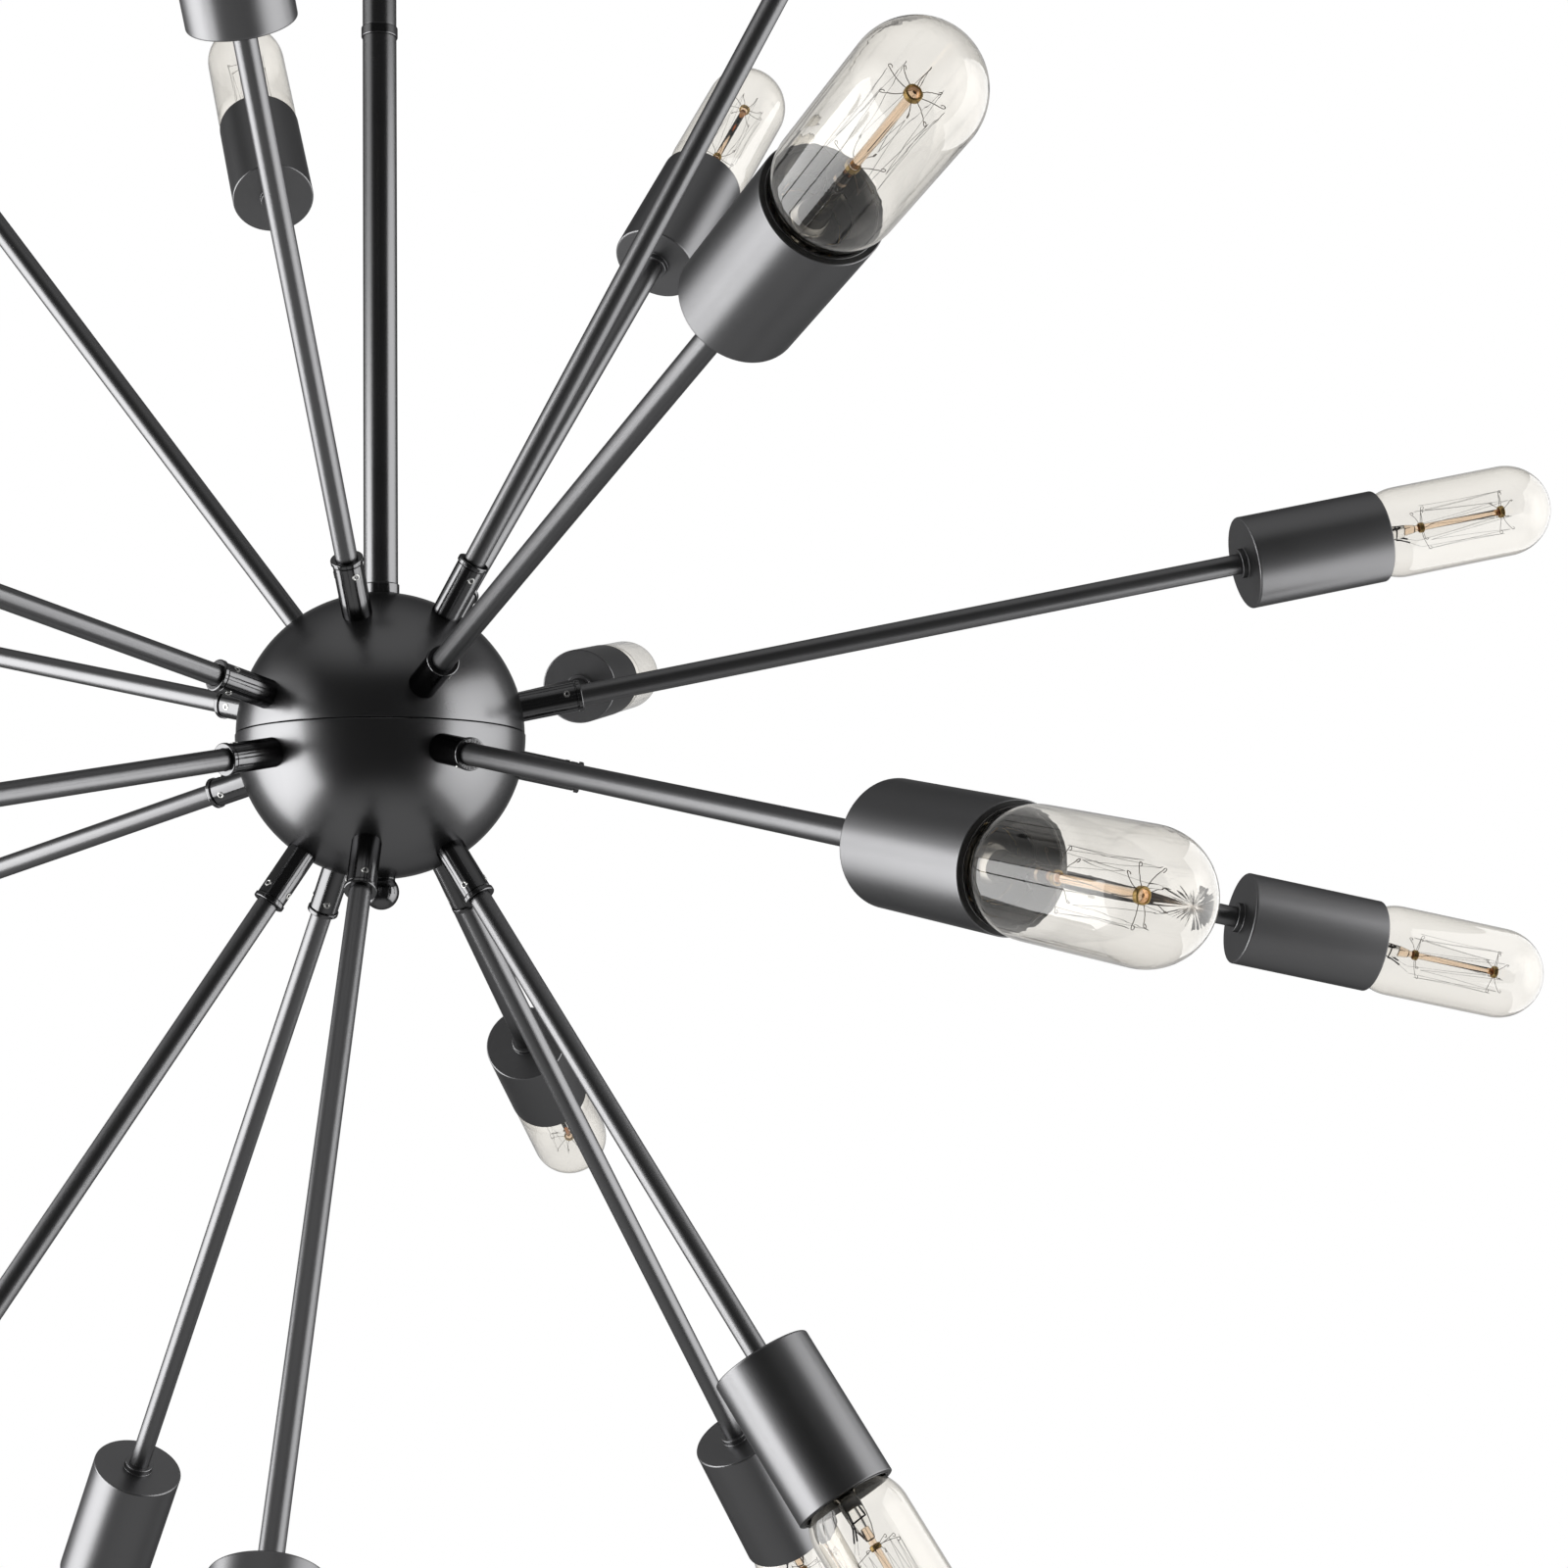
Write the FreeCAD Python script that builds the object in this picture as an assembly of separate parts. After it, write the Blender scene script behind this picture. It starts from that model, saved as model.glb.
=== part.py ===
import FreeCAD, Part
import math
import os

# Ceiling-hung sputnik chandelier, in millimetres. A hollow metal globe hangs on a two-piece
# rod from a round canopy, and twenty straight arms stand out of the globe in all directions.
# Each arm is a tube held in a collar, and ends in a deep cup with a screw socket and a long
# tubular bulb.
# Frame: +Z up, origin at the middle of the crossbar's top face, on the ceiling. The side that
# the pictures show faces -Y. Heights below the ceiling are negative.

V = FreeCAD.Vector
UP = V(0, 0, 1)
FULL_TURN = 360.0

# ---------------------------------------------------------------- driving dimensions
# fits, on the radius or on the face
FIXED_GAP = 0.05        # pieces that are screwed or pressed together
RUNNING_GAP = 0.05      # a shaft that turns in its bore
FACE_GAP = 0.3          # faces that move past each other
LOOSE_GAP = 0.3         # a piece that drops into its room

# ceiling crossbar
CROSSBAR_END_GAP = 4.8  # between each end of the crossbar and the canopy's wall
CROSSBAR_WIDTH = 20.0
CROSSBAR_THICK = 2.5
BOX_SCREW_WIDTH = 4.5   # slots for the outlet box's screws
BOX_SCREW_NEAR = 69.9   # the closest and the widest screw spacing that the slots take
BOX_SCREW_FAR = 88.9
STUD_FROM_END = 7.0     # the two studs that carry the canopy stand this far in on the bar
STUD_D = 4.2
CAP_NUT_D = 10.0
CAP_NUT_HEIGHT = 8.0
CAP_NUT_THREAD_DEPTH = 6.0

# canopy and the hub in its floor
CANOPY_D = 130.0
CANOPY_HEIGHT = 28.0
CANOPY_WALL = 1.2
CANOPY_EDGE_R = 5.0
HUB_BODY_D = 26.0
HUB_FLANGE_D = 36.0
HUB_FLANGE_THICK = 3.0
HUB_BELOW_CANOPY = 9.0
HUB_NUT_D = 34.0
HUB_NUT_HEIGHT = 4.0

# turning and tilting swivel
SHANK_D = 13.0
SHANK_BORE_D = 7.0
SHANK_NUT_ACROSS = 22.0
SHANK_NUT_HEIGHT = 5.0
FORK_HEAD_D = 25.0
FORK_HEAD_HEIGHT = 6.0
EAR_THICK = 4.5
EAR_WIDTH = 16.0
PIN_BELOW_HEAD = 12.0
PIN_D = 5.0
PIN_HEAD_D = 8.0
PIN_HEAD_THICK = 1.5
TONGUE_THICK = 8.8
TONGUE_WIDTH = 14.0
TONGUE_NECK = 10.0      # from the pin down to the round part of the tongue
TONGUE_FOOT_HEIGHT = 6.0

# rod
ROD_D = 16.0
ROD_WALL = 1.3
ROD_UPPER_LENGTH = 300.0
ROD_LOWER_LENGTH = 264.0
COUPLING_D = 17.2
COUPLING_HEIGHT = 5.0
SPIGOT_LENGTH = 14.0
SPIGOT_BORE_D = 8.0

# globe and what clamps its halves together
GLOBE_D = 133.0
GLOBE_WALL = 1.6
GLOBE_STEP = 0.4        # the lower half is this much larger on the radius
SEAM_GAP = 0.4
SEAM_LIP = 5.0          # the upper half reaches this far down inside the lower one
SEAM_LIP_THICK = 1.2
TIE_ROD_D = 10.0
TIE_ROD_BORE_D = 6.5
TIE_NUT_ACROSS = 17.0
TIE_NUT_HEIGHT = 5.0
FINIAL_D = 16.2
FINIAL_NECK_D = 12.6
FINIAL_NECK_HEIGHT = 1.4
FINIAL_THREAD_DEPTH = 6.0

# arms, measured along the arm from the middle of the globe
ARM_TUBE_D = 10.0
ARM_TUBE_WALL = 1.0
LONG_REACH = 424.0      # to the cup's base
SHORT_REACH = 341.0
COLLAR_D = 13.6
COLLAR_LENGTH = 28.5    # outside the globe
COLLAR_INSIDE = 3.0     # inside the globe
COLLAR_LIP_D = 14.8
COLLAR_LIP_LENGTH = 2.2

# lamp cup, socket and bulb
CUP_D = 45.0
CUP_LENGTH = 68.5
CUP_WALL = 3.0
CUP_BASE = 2.0
CUP_EDGE = 0.8
CUP_NECK_D = 14.4
CUP_NECK_LENGTH = 3.0
BULB_D = 44.4
BULB_LENGTH = 127.0
BULB_SHOWS = 89.0       # beyond the cup's rim
BULB_WALL = 0.8
BULB_NECK_D = 27.0
BULB_SHOULDER = 12.0    # from the cup's rim to the bulb's straight part
BULB_SHOULDER_R = 21.0  # of the curve that leads from there down to the neck
STEM_FOOT_D = 22.0      # glass stem inside the bulb, which carries the filament
STEM_FLARE_HEIGHT = 9.0
STEM_D = 8.0
STEM_HEIGHT = 33.0
STEM_ROD_D = 3.2
STEM_ROD_END = 22.0     # short of the bulb's tip
CAP_D = 26.0
CAP_LENGTH = 24.0
CAP_TAPER = 5.0
CONTACT_D = 10.0

# direction of each arm: azimuth from +X towards +Y, elevation above level, reach to the cup.
# Four rings of five, each arm a little off the regular place, as the piece is built.
# One arm has no collar: its tube goes straight into the globe.
BARE_ARM = (171.7, 53.2, LONG_REACH)
UPPER_RING = [
    (53.6, 52.6, SHORT_REACH),
    (111.1, 52.1, LONG_REACH),
    BARE_ARM,
    (263.7, 49.7, SHORT_REACH),
    (324.0, 51.9, LONG_REACH),
]
UPPER_MIDDLE_RING = [
    (7.3, 11.4, LONG_REACH),
    (81.3, 10.8, LONG_REACH),
    (152.2, 13.6, LONG_REACH),
    (226.7, 12.0, LONG_REACH),
    (295.0, 13.5, LONG_REACH),
]
LOWER_MIDDLE_RING = [
    (10.5, -11.9, LONG_REACH),
    (83.0, -23.9, SHORT_REACH),
    (156.6, -13.4, LONG_REACH),
    (230.6, -11.3, LONG_REACH),
    (302.6, -11.4, LONG_REACH),
]
LOWER_RING = [
    (50.6, -54.5, LONG_REACH),
    (130.2, -56.6, LONG_REACH),
    (203.9, -55.9, LONG_REACH),
    (268.4, -53.7, LONG_REACH),
    (333.0, -55.3, SHORT_REACH),
]
RINGS = {
    "upper": UPPER_RING,
    "upper_middle": UPPER_MIDDLE_RING,
    "lower_middle": LOWER_MIDDLE_RING,
    "lower": LOWER_RING,
}

# ---------------------------------------------------------------- heights, ceiling downwards
CANOPY_FLOOR_Z = -CANOPY_HEIGHT
CANOPY_FLOOR_TOP_Z = CANOPY_FLOOR_Z + CANOPY_WALL
HUB_TOP_Z = CANOPY_FLOOR_TOP_Z + HUB_FLANGE_THICK
HUB_FOOT_Z = CANOPY_FLOOR_Z - HUB_BELOW_CANOPY
SHANK_NUT_Z = HUB_TOP_Z + FACE_GAP
SHANK_TOP_Z = SHANK_NUT_Z + SHANK_NUT_HEIGHT
FORK_HEAD_Z = HUB_FOOT_Z - FACE_GAP
PIN_Z = FORK_HEAD_Z - FORK_HEAD_HEIGHT - PIN_BELOW_HEAD
TONGUE_FOOT_Z = PIN_Z - TONGUE_NECK
ROD_TOP_Z = TONGUE_FOOT_Z - TONGUE_FOOT_HEIGHT
COUPLING_TOP_Z = ROD_TOP_Z - ROD_UPPER_LENGTH
ROD_LOWER_TOP_Z = COUPLING_TOP_Z - COUPLING_HEIGHT
NECK_TOP_Z = ROD_LOWER_TOP_Z - ROD_LOWER_LENGTH
GLOBE_UPPER_R = GLOBE_D / 2
GLOBE_LOWER_R = GLOBE_D / 2 + GLOBE_STEP
# the globe's poles are flattened just enough to seat the coupling ring and the finial
UPPER_POLE = math.sqrt(GLOBE_UPPER_R**2 - (COUPLING_D / 2) ** 2)
LOWER_POLE = math.sqrt(GLOBE_LOWER_R**2 - (FINIAL_NECK_D / 2) ** 2)
NECK_FOOT_Z = NECK_TOP_Z - COUPLING_HEIGHT
GLOBE_Z = NECK_FOOT_Z - UPPER_POLE
GLOBE_CENTRE = V(0, 0, GLOBE_Z)
FINIAL_TOP_Z = GLOBE_Z - LOWER_POLE

ROD_BORE_R = ROD_D / 2 - ROD_WALL
SPIGOT_R = ROD_BORE_R - FIXED_GAP
TIE_HOLE_R = TIE_ROD_D / 2 + FIXED_GAP
ARM_BORE_R = ARM_TUBE_D / 2 + FIXED_GAP
COLLAR_HOLE_R = COLLAR_D / 2 + FIXED_GAP

CROSSBAR_LENGTH = CANOPY_D - 2 * (CANOPY_WALL + CROSSBAR_END_GAP)
STUD_SPACING = CROSSBAR_LENGTH - 2 * STUD_FROM_END


# ---------------------------------------------------------------- shapes
def ring_of_edges(start, steps):
    """Closed outline in the XZ half plane. A step is a (radius, height) point for a straight
    edge, or two points, of which an arc passes through the first and ends on the second."""
    edges = []
    here = V(start[0], 0, start[1])
    home = here
    for step in steps:
        curved = isinstance(step[0], tuple)
        end = step[1] if curved else step
        there = V(end[0], 0, end[1])
        if curved:
            through = V(step[0][0], 0, step[0][1])
            edges.append(Part.Arc(here, through, there).toShape())
        else:
            edges.append(Part.LineSegment(here, there).toShape())
        here = there
    if here.distanceToPoint(home) > 1e-6:
        edges.append(Part.LineSegment(here, home).toShape())
    return Part.Wire(edges)


def turned(start, *steps):
    """Solid that a lathe would make: the outline turned about the Z axis."""
    face = Part.Face(ring_of_edges(start, steps))
    return face.revolve(V(0, 0, 0), UP, FULL_TURN)


def tube(outer_r, inner_r, low, high):
    """Straight round tube about the Z axis."""
    return turned((inner_r, low), (outer_r, low), (outer_r, high), (inner_r, high))


def hex_nut(across, hole_r, low, height):
    """Six-sided nut about the Z axis."""
    corner_r = across / math.sqrt(3)
    corners = [
        V(corner_r * math.cos(math.radians(60 * k)), corner_r * math.sin(math.radians(60 * k)), low)
        for k in range(7)
    ]
    block = Part.Face(Part.makePolygon(corners)).extrude(V(0, 0, height))
    return block.cut(Part.makeCylinder(hole_r, height, V(0, 0, low)))


def aimed(shape, azimuth, elevation):
    """A copy of a shape drawn along +Z from the origin, turned out along an arm's direction."""
    lean = FreeCAD.Rotation(V(0, 1, 0), 90 - elevation)
    turn = FreeCAD.Rotation(UP, azimuth)
    placed = shape.copy()
    placed.Placement = FreeCAD.Placement(GLOBE_CENTRE, turn.multiply(lean))
    return placed


def on_arms(shape_at, arms):
    """One separate solid for each arm, in one group. shape_at makes the solid for a reach. The
    bare arm gets no collar."""
    if shape_at is collar:
        arms = [arm for arm in arms if arm != BARE_ARM]
    made = {reach: shape_at(reach) for reach in {arm[2] for arm in arms}}
    return Part.makeCompound([aimed(made[reach], az, el) for az, el, reach in arms])


# ---------------------------------------------------------------- ceiling fixing
def box_slot(side):
    """Cutter for one slot: it takes an outlet box's screw from the near to the far spacing."""
    near = side * BOX_SCREW_NEAR / 2
    far = side * BOX_SCREW_FAR / 2
    radius = BOX_SCREW_WIDTH / 2
    low = -CROSSBAR_THICK
    ends = [Part.makeCylinder(radius, CROSSBAR_THICK, V(x, 0, low)) for x in (near, far)]
    middle = Part.makeBox(
        abs(far - near), BOX_SCREW_WIDTH, CROSSBAR_THICK, V(min(near, far), -radius, low)
    )
    return middle.fuse(ends)


def crossbar():
    """Flat steel strip with rounded ends, two screw slots and two stud holes."""
    half = CROSSBAR_LENGTH / 2 - CROSSBAR_WIDTH / 2
    low = -CROSSBAR_THICK
    strip = Part.makeBox(2 * half, CROSSBAR_WIDTH, CROSSBAR_THICK, V(-half, -CROSSBAR_WIDTH / 2, low))
    for side in (-1, 1):
        strip = strip.fuse(
            Part.makeCylinder(CROSSBAR_WIDTH / 2, CROSSBAR_THICK, V(side * half, 0, low))
        )
    for side in (-1, 1):
        strip = strip.cut(box_slot(side))
        stud_x = side * STUD_SPACING / 2
        strip = strip.cut(
            Part.makeCylinder(STUD_D / 2 + FIXED_GAP, CROSSBAR_THICK, V(stud_x, 0, low))
        )
    return strip.removeSplitter()


def canopy():
    """Round pan, open to the ceiling, with a hole for the hub and one for each stud."""
    outer = CANOPY_D / 2
    edge = CANOPY_EDGE_R
    inner = outer - CANOPY_WALL
    inner_edge = edge - CANOPY_WALL
    hole = HUB_BODY_D / 2 + FIXED_GAP
    bend = math.sqrt(0.5)
    floor = CANOPY_FLOOR_Z
    floor_top = CANOPY_FLOOR_TOP_Z
    centre = (outer - edge, floor + edge)
    pan = turned(
        (hole, floor),
        (centre[0], floor),
        ((centre[0] + edge * bend, centre[1] - edge * bend), (outer, centre[1])),
        (outer, 0),
        (inner, 0),
        (inner, centre[1]),
        ((centre[0] + inner_edge * bend, centre[1] - inner_edge * bend), (centre[0], floor_top)),
        (hole, floor_top),
    )
    for side in (-1, 1):
        stud_hole = Part.makeCylinder(
            STUD_D / 2 + LOOSE_GAP, CANOPY_WALL, V(side * STUD_SPACING / 2, 0, floor)
        )
        pan = pan.cut(stud_hole)
    return pan


def canopy_studs():
    """Two studs, screwed into the crossbar, that reach down through the canopy's floor."""
    low = CANOPY_FLOOR_Z - CAP_NUT_THREAD_DEPTH + LOOSE_GAP
    return Part.makeCompound(
        [Part.makeCylinder(STUD_D / 2, -low, V(side * STUD_SPACING / 2, 0, low)) for side in (-1, 1)]
    )


def canopy_cap_nuts():
    """Two domed nuts under the canopy's floor."""
    radius = CAP_NUT_D / 2
    hole = STUD_D / 2 + FIXED_GAP
    top = CANOPY_FLOOR_Z
    foot = top - CAP_NUT_HEIGHT
    flank = foot + radius
    bend = math.sqrt(0.5)
    nut = turned(
        (hole, top),
        (radius, top),
        (radius, flank),
        ((radius * bend, flank - radius * bend), (0, foot)),
        (0, top - CAP_NUT_THREAD_DEPTH),
        (hole, top - CAP_NUT_THREAD_DEPTH),
    )
    placed = []
    for side in (-1, 1):
        one = nut.copy()
        one.translate(V(side * STUD_SPACING / 2, 0, 0))
        placed.append(one)
    return Part.makeCompound(placed)


def canopy_hub():
    """Flanged bush that drops through the canopy's floor and carries the swivel."""
    bore = SHANK_D / 2 + RUNNING_GAP
    body = HUB_BODY_D / 2
    return turned(
        (bore, HUB_FOOT_Z),
        (body, HUB_FOOT_Z),
        (body, CANOPY_FLOOR_TOP_Z),
        (HUB_FLANGE_D / 2, CANOPY_FLOOR_TOP_Z),
        (HUB_FLANGE_D / 2, HUB_TOP_Z),
        (bore, HUB_TOP_Z),
    )


def hub_ring_nut():
    """Round nut that clamps the hub to the canopy from below."""
    top = CANOPY_FLOOR_Z
    return tube(HUB_NUT_D / 2, HUB_BODY_D / 2 + FIXED_GAP, top - HUB_NUT_HEIGHT, top)


# ---------------------------------------------------------------- swivel
def swivel_fork():
    """Hollow shank that turns in the hub, and two ears that hold the tilt pin."""
    shank = SHANK_D / 2
    bore = SHANK_BORE_D / 2
    head_foot = FORK_HEAD_Z - FORK_HEAD_HEIGHT
    fork = turned(
        (bore, head_foot),
        (FORK_HEAD_D / 2, head_foot),
        (FORK_HEAD_D / 2, FORK_HEAD_Z),
        (shank, FORK_HEAD_Z),
        (shank, SHANK_TOP_Z),
        (bore, SHANK_TOP_Z),
    )
    slot = TONGUE_THICK / 2 + FACE_GAP
    for near in (-slot - EAR_THICK, slot):
        plate = Part.makeBox(
            EAR_WIDTH, EAR_THICK, PIN_BELOW_HEAD, V(-EAR_WIDTH / 2, near, PIN_Z)
        )
        rounded = Part.makeCylinder(EAR_WIDTH / 2, EAR_THICK, V(0, near, PIN_Z), V(0, 1, 0))
        fork = fork.fuse(plate.fuse(rounded))
    span = slot + EAR_THICK
    pin_hole = Part.makeCylinder(PIN_D / 2 + FIXED_GAP, 2 * span, V(0, -span, PIN_Z), V(0, 1, 0))
    return fork.cut(pin_hole).removeSplitter()


def swivel_nut():
    """Nut on the shank that rests on the hub and carries the whole pendant."""
    return hex_nut(SHANK_NUT_ACROSS, SHANK_D / 2 + FIXED_GAP, SHANK_NUT_Z, SHANK_NUT_HEIGHT)


def swivel_pin():
    """Headed pin through the fork's ears."""
    span = TONGUE_THICK / 2 + FACE_GAP + EAR_THICK
    pin = Part.makeCylinder(PIN_D / 2, 2 * span, V(0, -span, PIN_Z), V(0, 1, 0))
    for start in (-span - PIN_HEAD_THICK, span):
        head = Part.makeCylinder(PIN_HEAD_D / 2, PIN_HEAD_THICK, V(0, start, PIN_Z), V(0, 1, 0))
        pin = pin.fuse(head)
    return pin.removeSplitter()


def swivel_tongue():
    """Flat tongue on the pin, with a round foot and a spigot that enters the upper rod."""
    neck = Part.makeBox(
        TONGUE_WIDTH, TONGUE_THICK, TONGUE_NECK, V(-TONGUE_WIDTH / 2, -TONGUE_THICK / 2, TONGUE_FOOT_Z)
    )
    eye = Part.makeCylinder(
        TONGUE_WIDTH / 2, TONGUE_THICK, V(0, -TONGUE_THICK / 2, PIN_Z), V(0, 1, 0)
    )
    bore = SPIGOT_BORE_D / 2
    foot = turned(
        (bore, ROD_TOP_Z - SPIGOT_LENGTH),
        (SPIGOT_R, ROD_TOP_Z - SPIGOT_LENGTH),
        (SPIGOT_R, ROD_TOP_Z),
        (ROD_D / 2, ROD_TOP_Z),
        (ROD_D / 2, TONGUE_FOOT_Z),
        (bore, TONGUE_FOOT_Z),
    )
    tongue = neck.fuse([eye, foot])
    pin_hole = Part.makeCylinder(
        PIN_D / 2 + RUNNING_GAP, TONGUE_THICK, V(0, -TONGUE_THICK / 2, PIN_Z), V(0, 1, 0)
    )
    return tongue.cut(pin_hole).removeSplitter()


# ---------------------------------------------------------------- rod
def rod_upper():
    return tube(ROD_D / 2, ROD_BORE_R, COUPLING_TOP_Z, ROD_TOP_Z)


def rod_lower():
    return tube(ROD_D / 2, ROD_BORE_R, NECK_TOP_Z, ROD_LOWER_TOP_Z)


def rod_coupling():
    """Ring between the rods, with a spigot up and a spigot down."""
    bore = SPIGOT_BORE_D / 2
    ring = COUPLING_D / 2
    return turned(
        (bore, ROD_LOWER_TOP_Z - SPIGOT_LENGTH),
        (SPIGOT_R, ROD_LOWER_TOP_Z - SPIGOT_LENGTH),
        (SPIGOT_R, ROD_LOWER_TOP_Z),
        (ring, ROD_LOWER_TOP_Z),
        (ring, COUPLING_TOP_Z),
        (SPIGOT_R, COUPLING_TOP_Z),
        (SPIGOT_R, COUPLING_TOP_Z + SPIGOT_LENGTH),
        (bore, COUPLING_TOP_Z + SPIGOT_LENGTH),
    )


def neck_ring():
    """Ring between the lower rod and the globe, with a spigot up and a threaded bore."""
    ring = COUPLING_D / 2
    return turned(
        (TIE_HOLE_R, NECK_FOOT_Z),
        (ring, NECK_FOOT_Z),
        (ring, NECK_TOP_Z),
        (SPIGOT_R, NECK_TOP_Z),
        (SPIGOT_R, NECK_TOP_Z + SPIGOT_LENGTH),
        (TIE_HOLE_R, NECK_TOP_Z + SPIGOT_LENGTH),
    )


# ---------------------------------------------------------------- globe
def drilled(shell, arms):
    """The half globe with a round hole for each collar, or for the bare arm's tube."""
    cutters = []
    for arm in arms:
        radius = ARM_BORE_R if arm == BARE_ARM else COLLAR_HOLE_R
        cutters.append(aimed(Part.makeCylinder(radius, GLOBE_D), arm[0], arm[1]))
    return shell.cut(cutters)


def globe_upper():
    """Upper half shell: flattened pole, and a lip that plugs into the lower half."""
    outer = GLOBE_UPPER_R
    inner = outer - GLOBE_WALL
    rim = SEAM_GAP / 2
    lip_outer = GLOBE_LOWER_R - GLOBE_WALL - LOOSE_GAP
    lip_inner = lip_outer - SEAM_LIP_THICK
    bend = math.sqrt(0.5)
    land = COUPLING_D / 2
    start_outer = math.sqrt(outer**2 - rim**2)
    lip_foot = -SEAM_LIP
    lip_top = math.sqrt(inner**2 - lip_inner**2)
    shell = turned(
        (TIE_HOLE_R, UPPER_POLE),
        (land, UPPER_POLE),
        ((outer * bend, outer * bend), (start_outer, rim)),
        (lip_outer, rim),
        (lip_outer, lip_foot),
        (lip_inner, lip_foot),
        (lip_inner, lip_top),
        ((inner * bend, inner * bend), (TIE_HOLE_R, math.sqrt(inner**2 - TIE_HOLE_R**2))),
    )
    shell.translate(GLOBE_CENTRE)
    return drilled(shell, UPPER_RING + UPPER_MIDDLE_RING)


def globe_lower():
    """Lower half shell, slightly larger, with a flattened pole for the finial."""
    outer = GLOBE_LOWER_R
    inner = outer - GLOBE_WALL
    rim = -SEAM_GAP / 2
    bend = math.sqrt(0.5)
    land = FINIAL_NECK_D / 2
    shell = turned(
        (TIE_HOLE_R, -LOWER_POLE),
        (land, -LOWER_POLE),
        ((outer * bend, -outer * bend), (math.sqrt(outer**2 - rim**2), rim)),
        (math.sqrt(inner**2 - rim**2), rim),
        ((inner * bend, -inner * bend), (TIE_HOLE_R, -math.sqrt(inner**2 - TIE_HOLE_R**2))),
    )
    shell.translate(GLOBE_CENTRE)
    return drilled(shell, LOWER_MIDDLE_RING + LOWER_RING)


def tie_rod():
    """Threaded tube that runs through the globe and clamps its halves."""
    low = FINIAL_TOP_Z - FINIAL_THREAD_DEPTH + LOOSE_GAP
    return tube(TIE_ROD_D / 2, TIE_ROD_BORE_D / 2, low, NECK_TOP_Z + SPIGOT_LENGTH)


def tie_nut():
    """Nut that locks the upper half shell against the neck ring, from inside the globe."""
    inner = GLOBE_UPPER_R - GLOBE_WALL
    corner = TIE_NUT_ACROSS / math.sqrt(3)
    top = GLOBE_Z + math.sqrt(inner**2 - corner**2) - FIXED_GAP
    return hex_nut(TIE_NUT_ACROSS, TIE_HOLE_R, top - TIE_NUT_HEIGHT, TIE_NUT_HEIGHT)


def bottom_finial():
    """Ball nut under the globe."""
    neck = FINIAL_NECK_D / 2
    radius = FINIAL_D / 2
    hole_top = FINIAL_TOP_Z
    hole_end = hole_top - FINIAL_THREAD_DEPTH
    ball_top = hole_top - FINIAL_NECK_HEIGHT
    ball_z = ball_top - math.sqrt(radius**2 - neck**2)
    return turned(
        (TIE_HOLE_R, hole_top),
        (neck, hole_top),
        (neck, ball_top),
        ((radius, ball_z), (0, ball_z - radius)),
        (0, hole_end),
        (TIE_HOLE_R, hole_end),
    )


# ---------------------------------------------------------------- arms, drawn along +Z
def collar(_reach):
    """Sleeve in the globe's wall, with a raised lip round its outer end."""
    low = GLOBE_D / 2 - COLLAR_INSIDE
    high = GLOBE_D / 2 + COLLAR_LENGTH
    lip = high - COLLAR_LIP_LENGTH
    return turned(
        (ARM_BORE_R, low),
        (COLLAR_D / 2, low),
        (COLLAR_D / 2, lip),
        (COLLAR_LIP_D / 2, lip),
        (COLLAR_LIP_D / 2, high),
        (ARM_BORE_R, high),
    )


def arm_tube(reach):
    """Tube from inside the collar to the inside of the cup's base."""
    low = GLOBE_D / 2 - COLLAR_INSIDE
    outer = ARM_TUBE_D / 2
    return tube(outer, outer - ARM_TUBE_WALL, low, reach + CUP_BASE)


def lamp_cup(reach):
    """Deep cup with a thick wall, a small bevel at its base and a short neck round the tube."""
    outer = CUP_D / 2
    inner = outer - CUP_WALL
    neck = CUP_NECK_D / 2
    rim = reach + CUP_LENGTH
    return turned(
        (ARM_BORE_R, reach - CUP_NECK_LENGTH),
        (neck, reach - CUP_NECK_LENGTH),
        (neck, reach),
        (outer - CUP_EDGE, reach),
        (outer, reach + CUP_EDGE),
        (outer, rim),
        (inner, rim),
        (inner, reach + CUP_BASE),
        (ARM_BORE_R, reach + CUP_BASE),
    )


def bulb_foot(reach):
    """Height along the arm of the bulb's bottom contact."""
    return reach + CUP_LENGTH + BULB_SHOWS - BULB_LENGTH


def socket(reach):
    """Round socket body on the cup's floor, bored for the bulb's screw cap."""
    outer = CUP_D / 2 - CUP_WALL - LOOSE_GAP
    bore = CAP_D / 2 + LOOSE_GAP
    floor = bulb_foot(reach)
    low = reach + CUP_BASE
    high = floor + CAP_LENGTH
    return turned((0, low), (outer, low), (outer, high), (bore, high), (bore, floor), (0, floor))


def screw_cap(reach):
    """Metal cap of the bulb, tapered down to its bottom contact."""
    radius = CAP_D / 2
    foot = bulb_foot(reach)
    top = foot + CAP_LENGTH
    return turned(
        (0, foot), (CONTACT_D / 2, foot), (radius, foot + CAP_TAPER), (radius, top), (0, top)
    )


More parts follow.
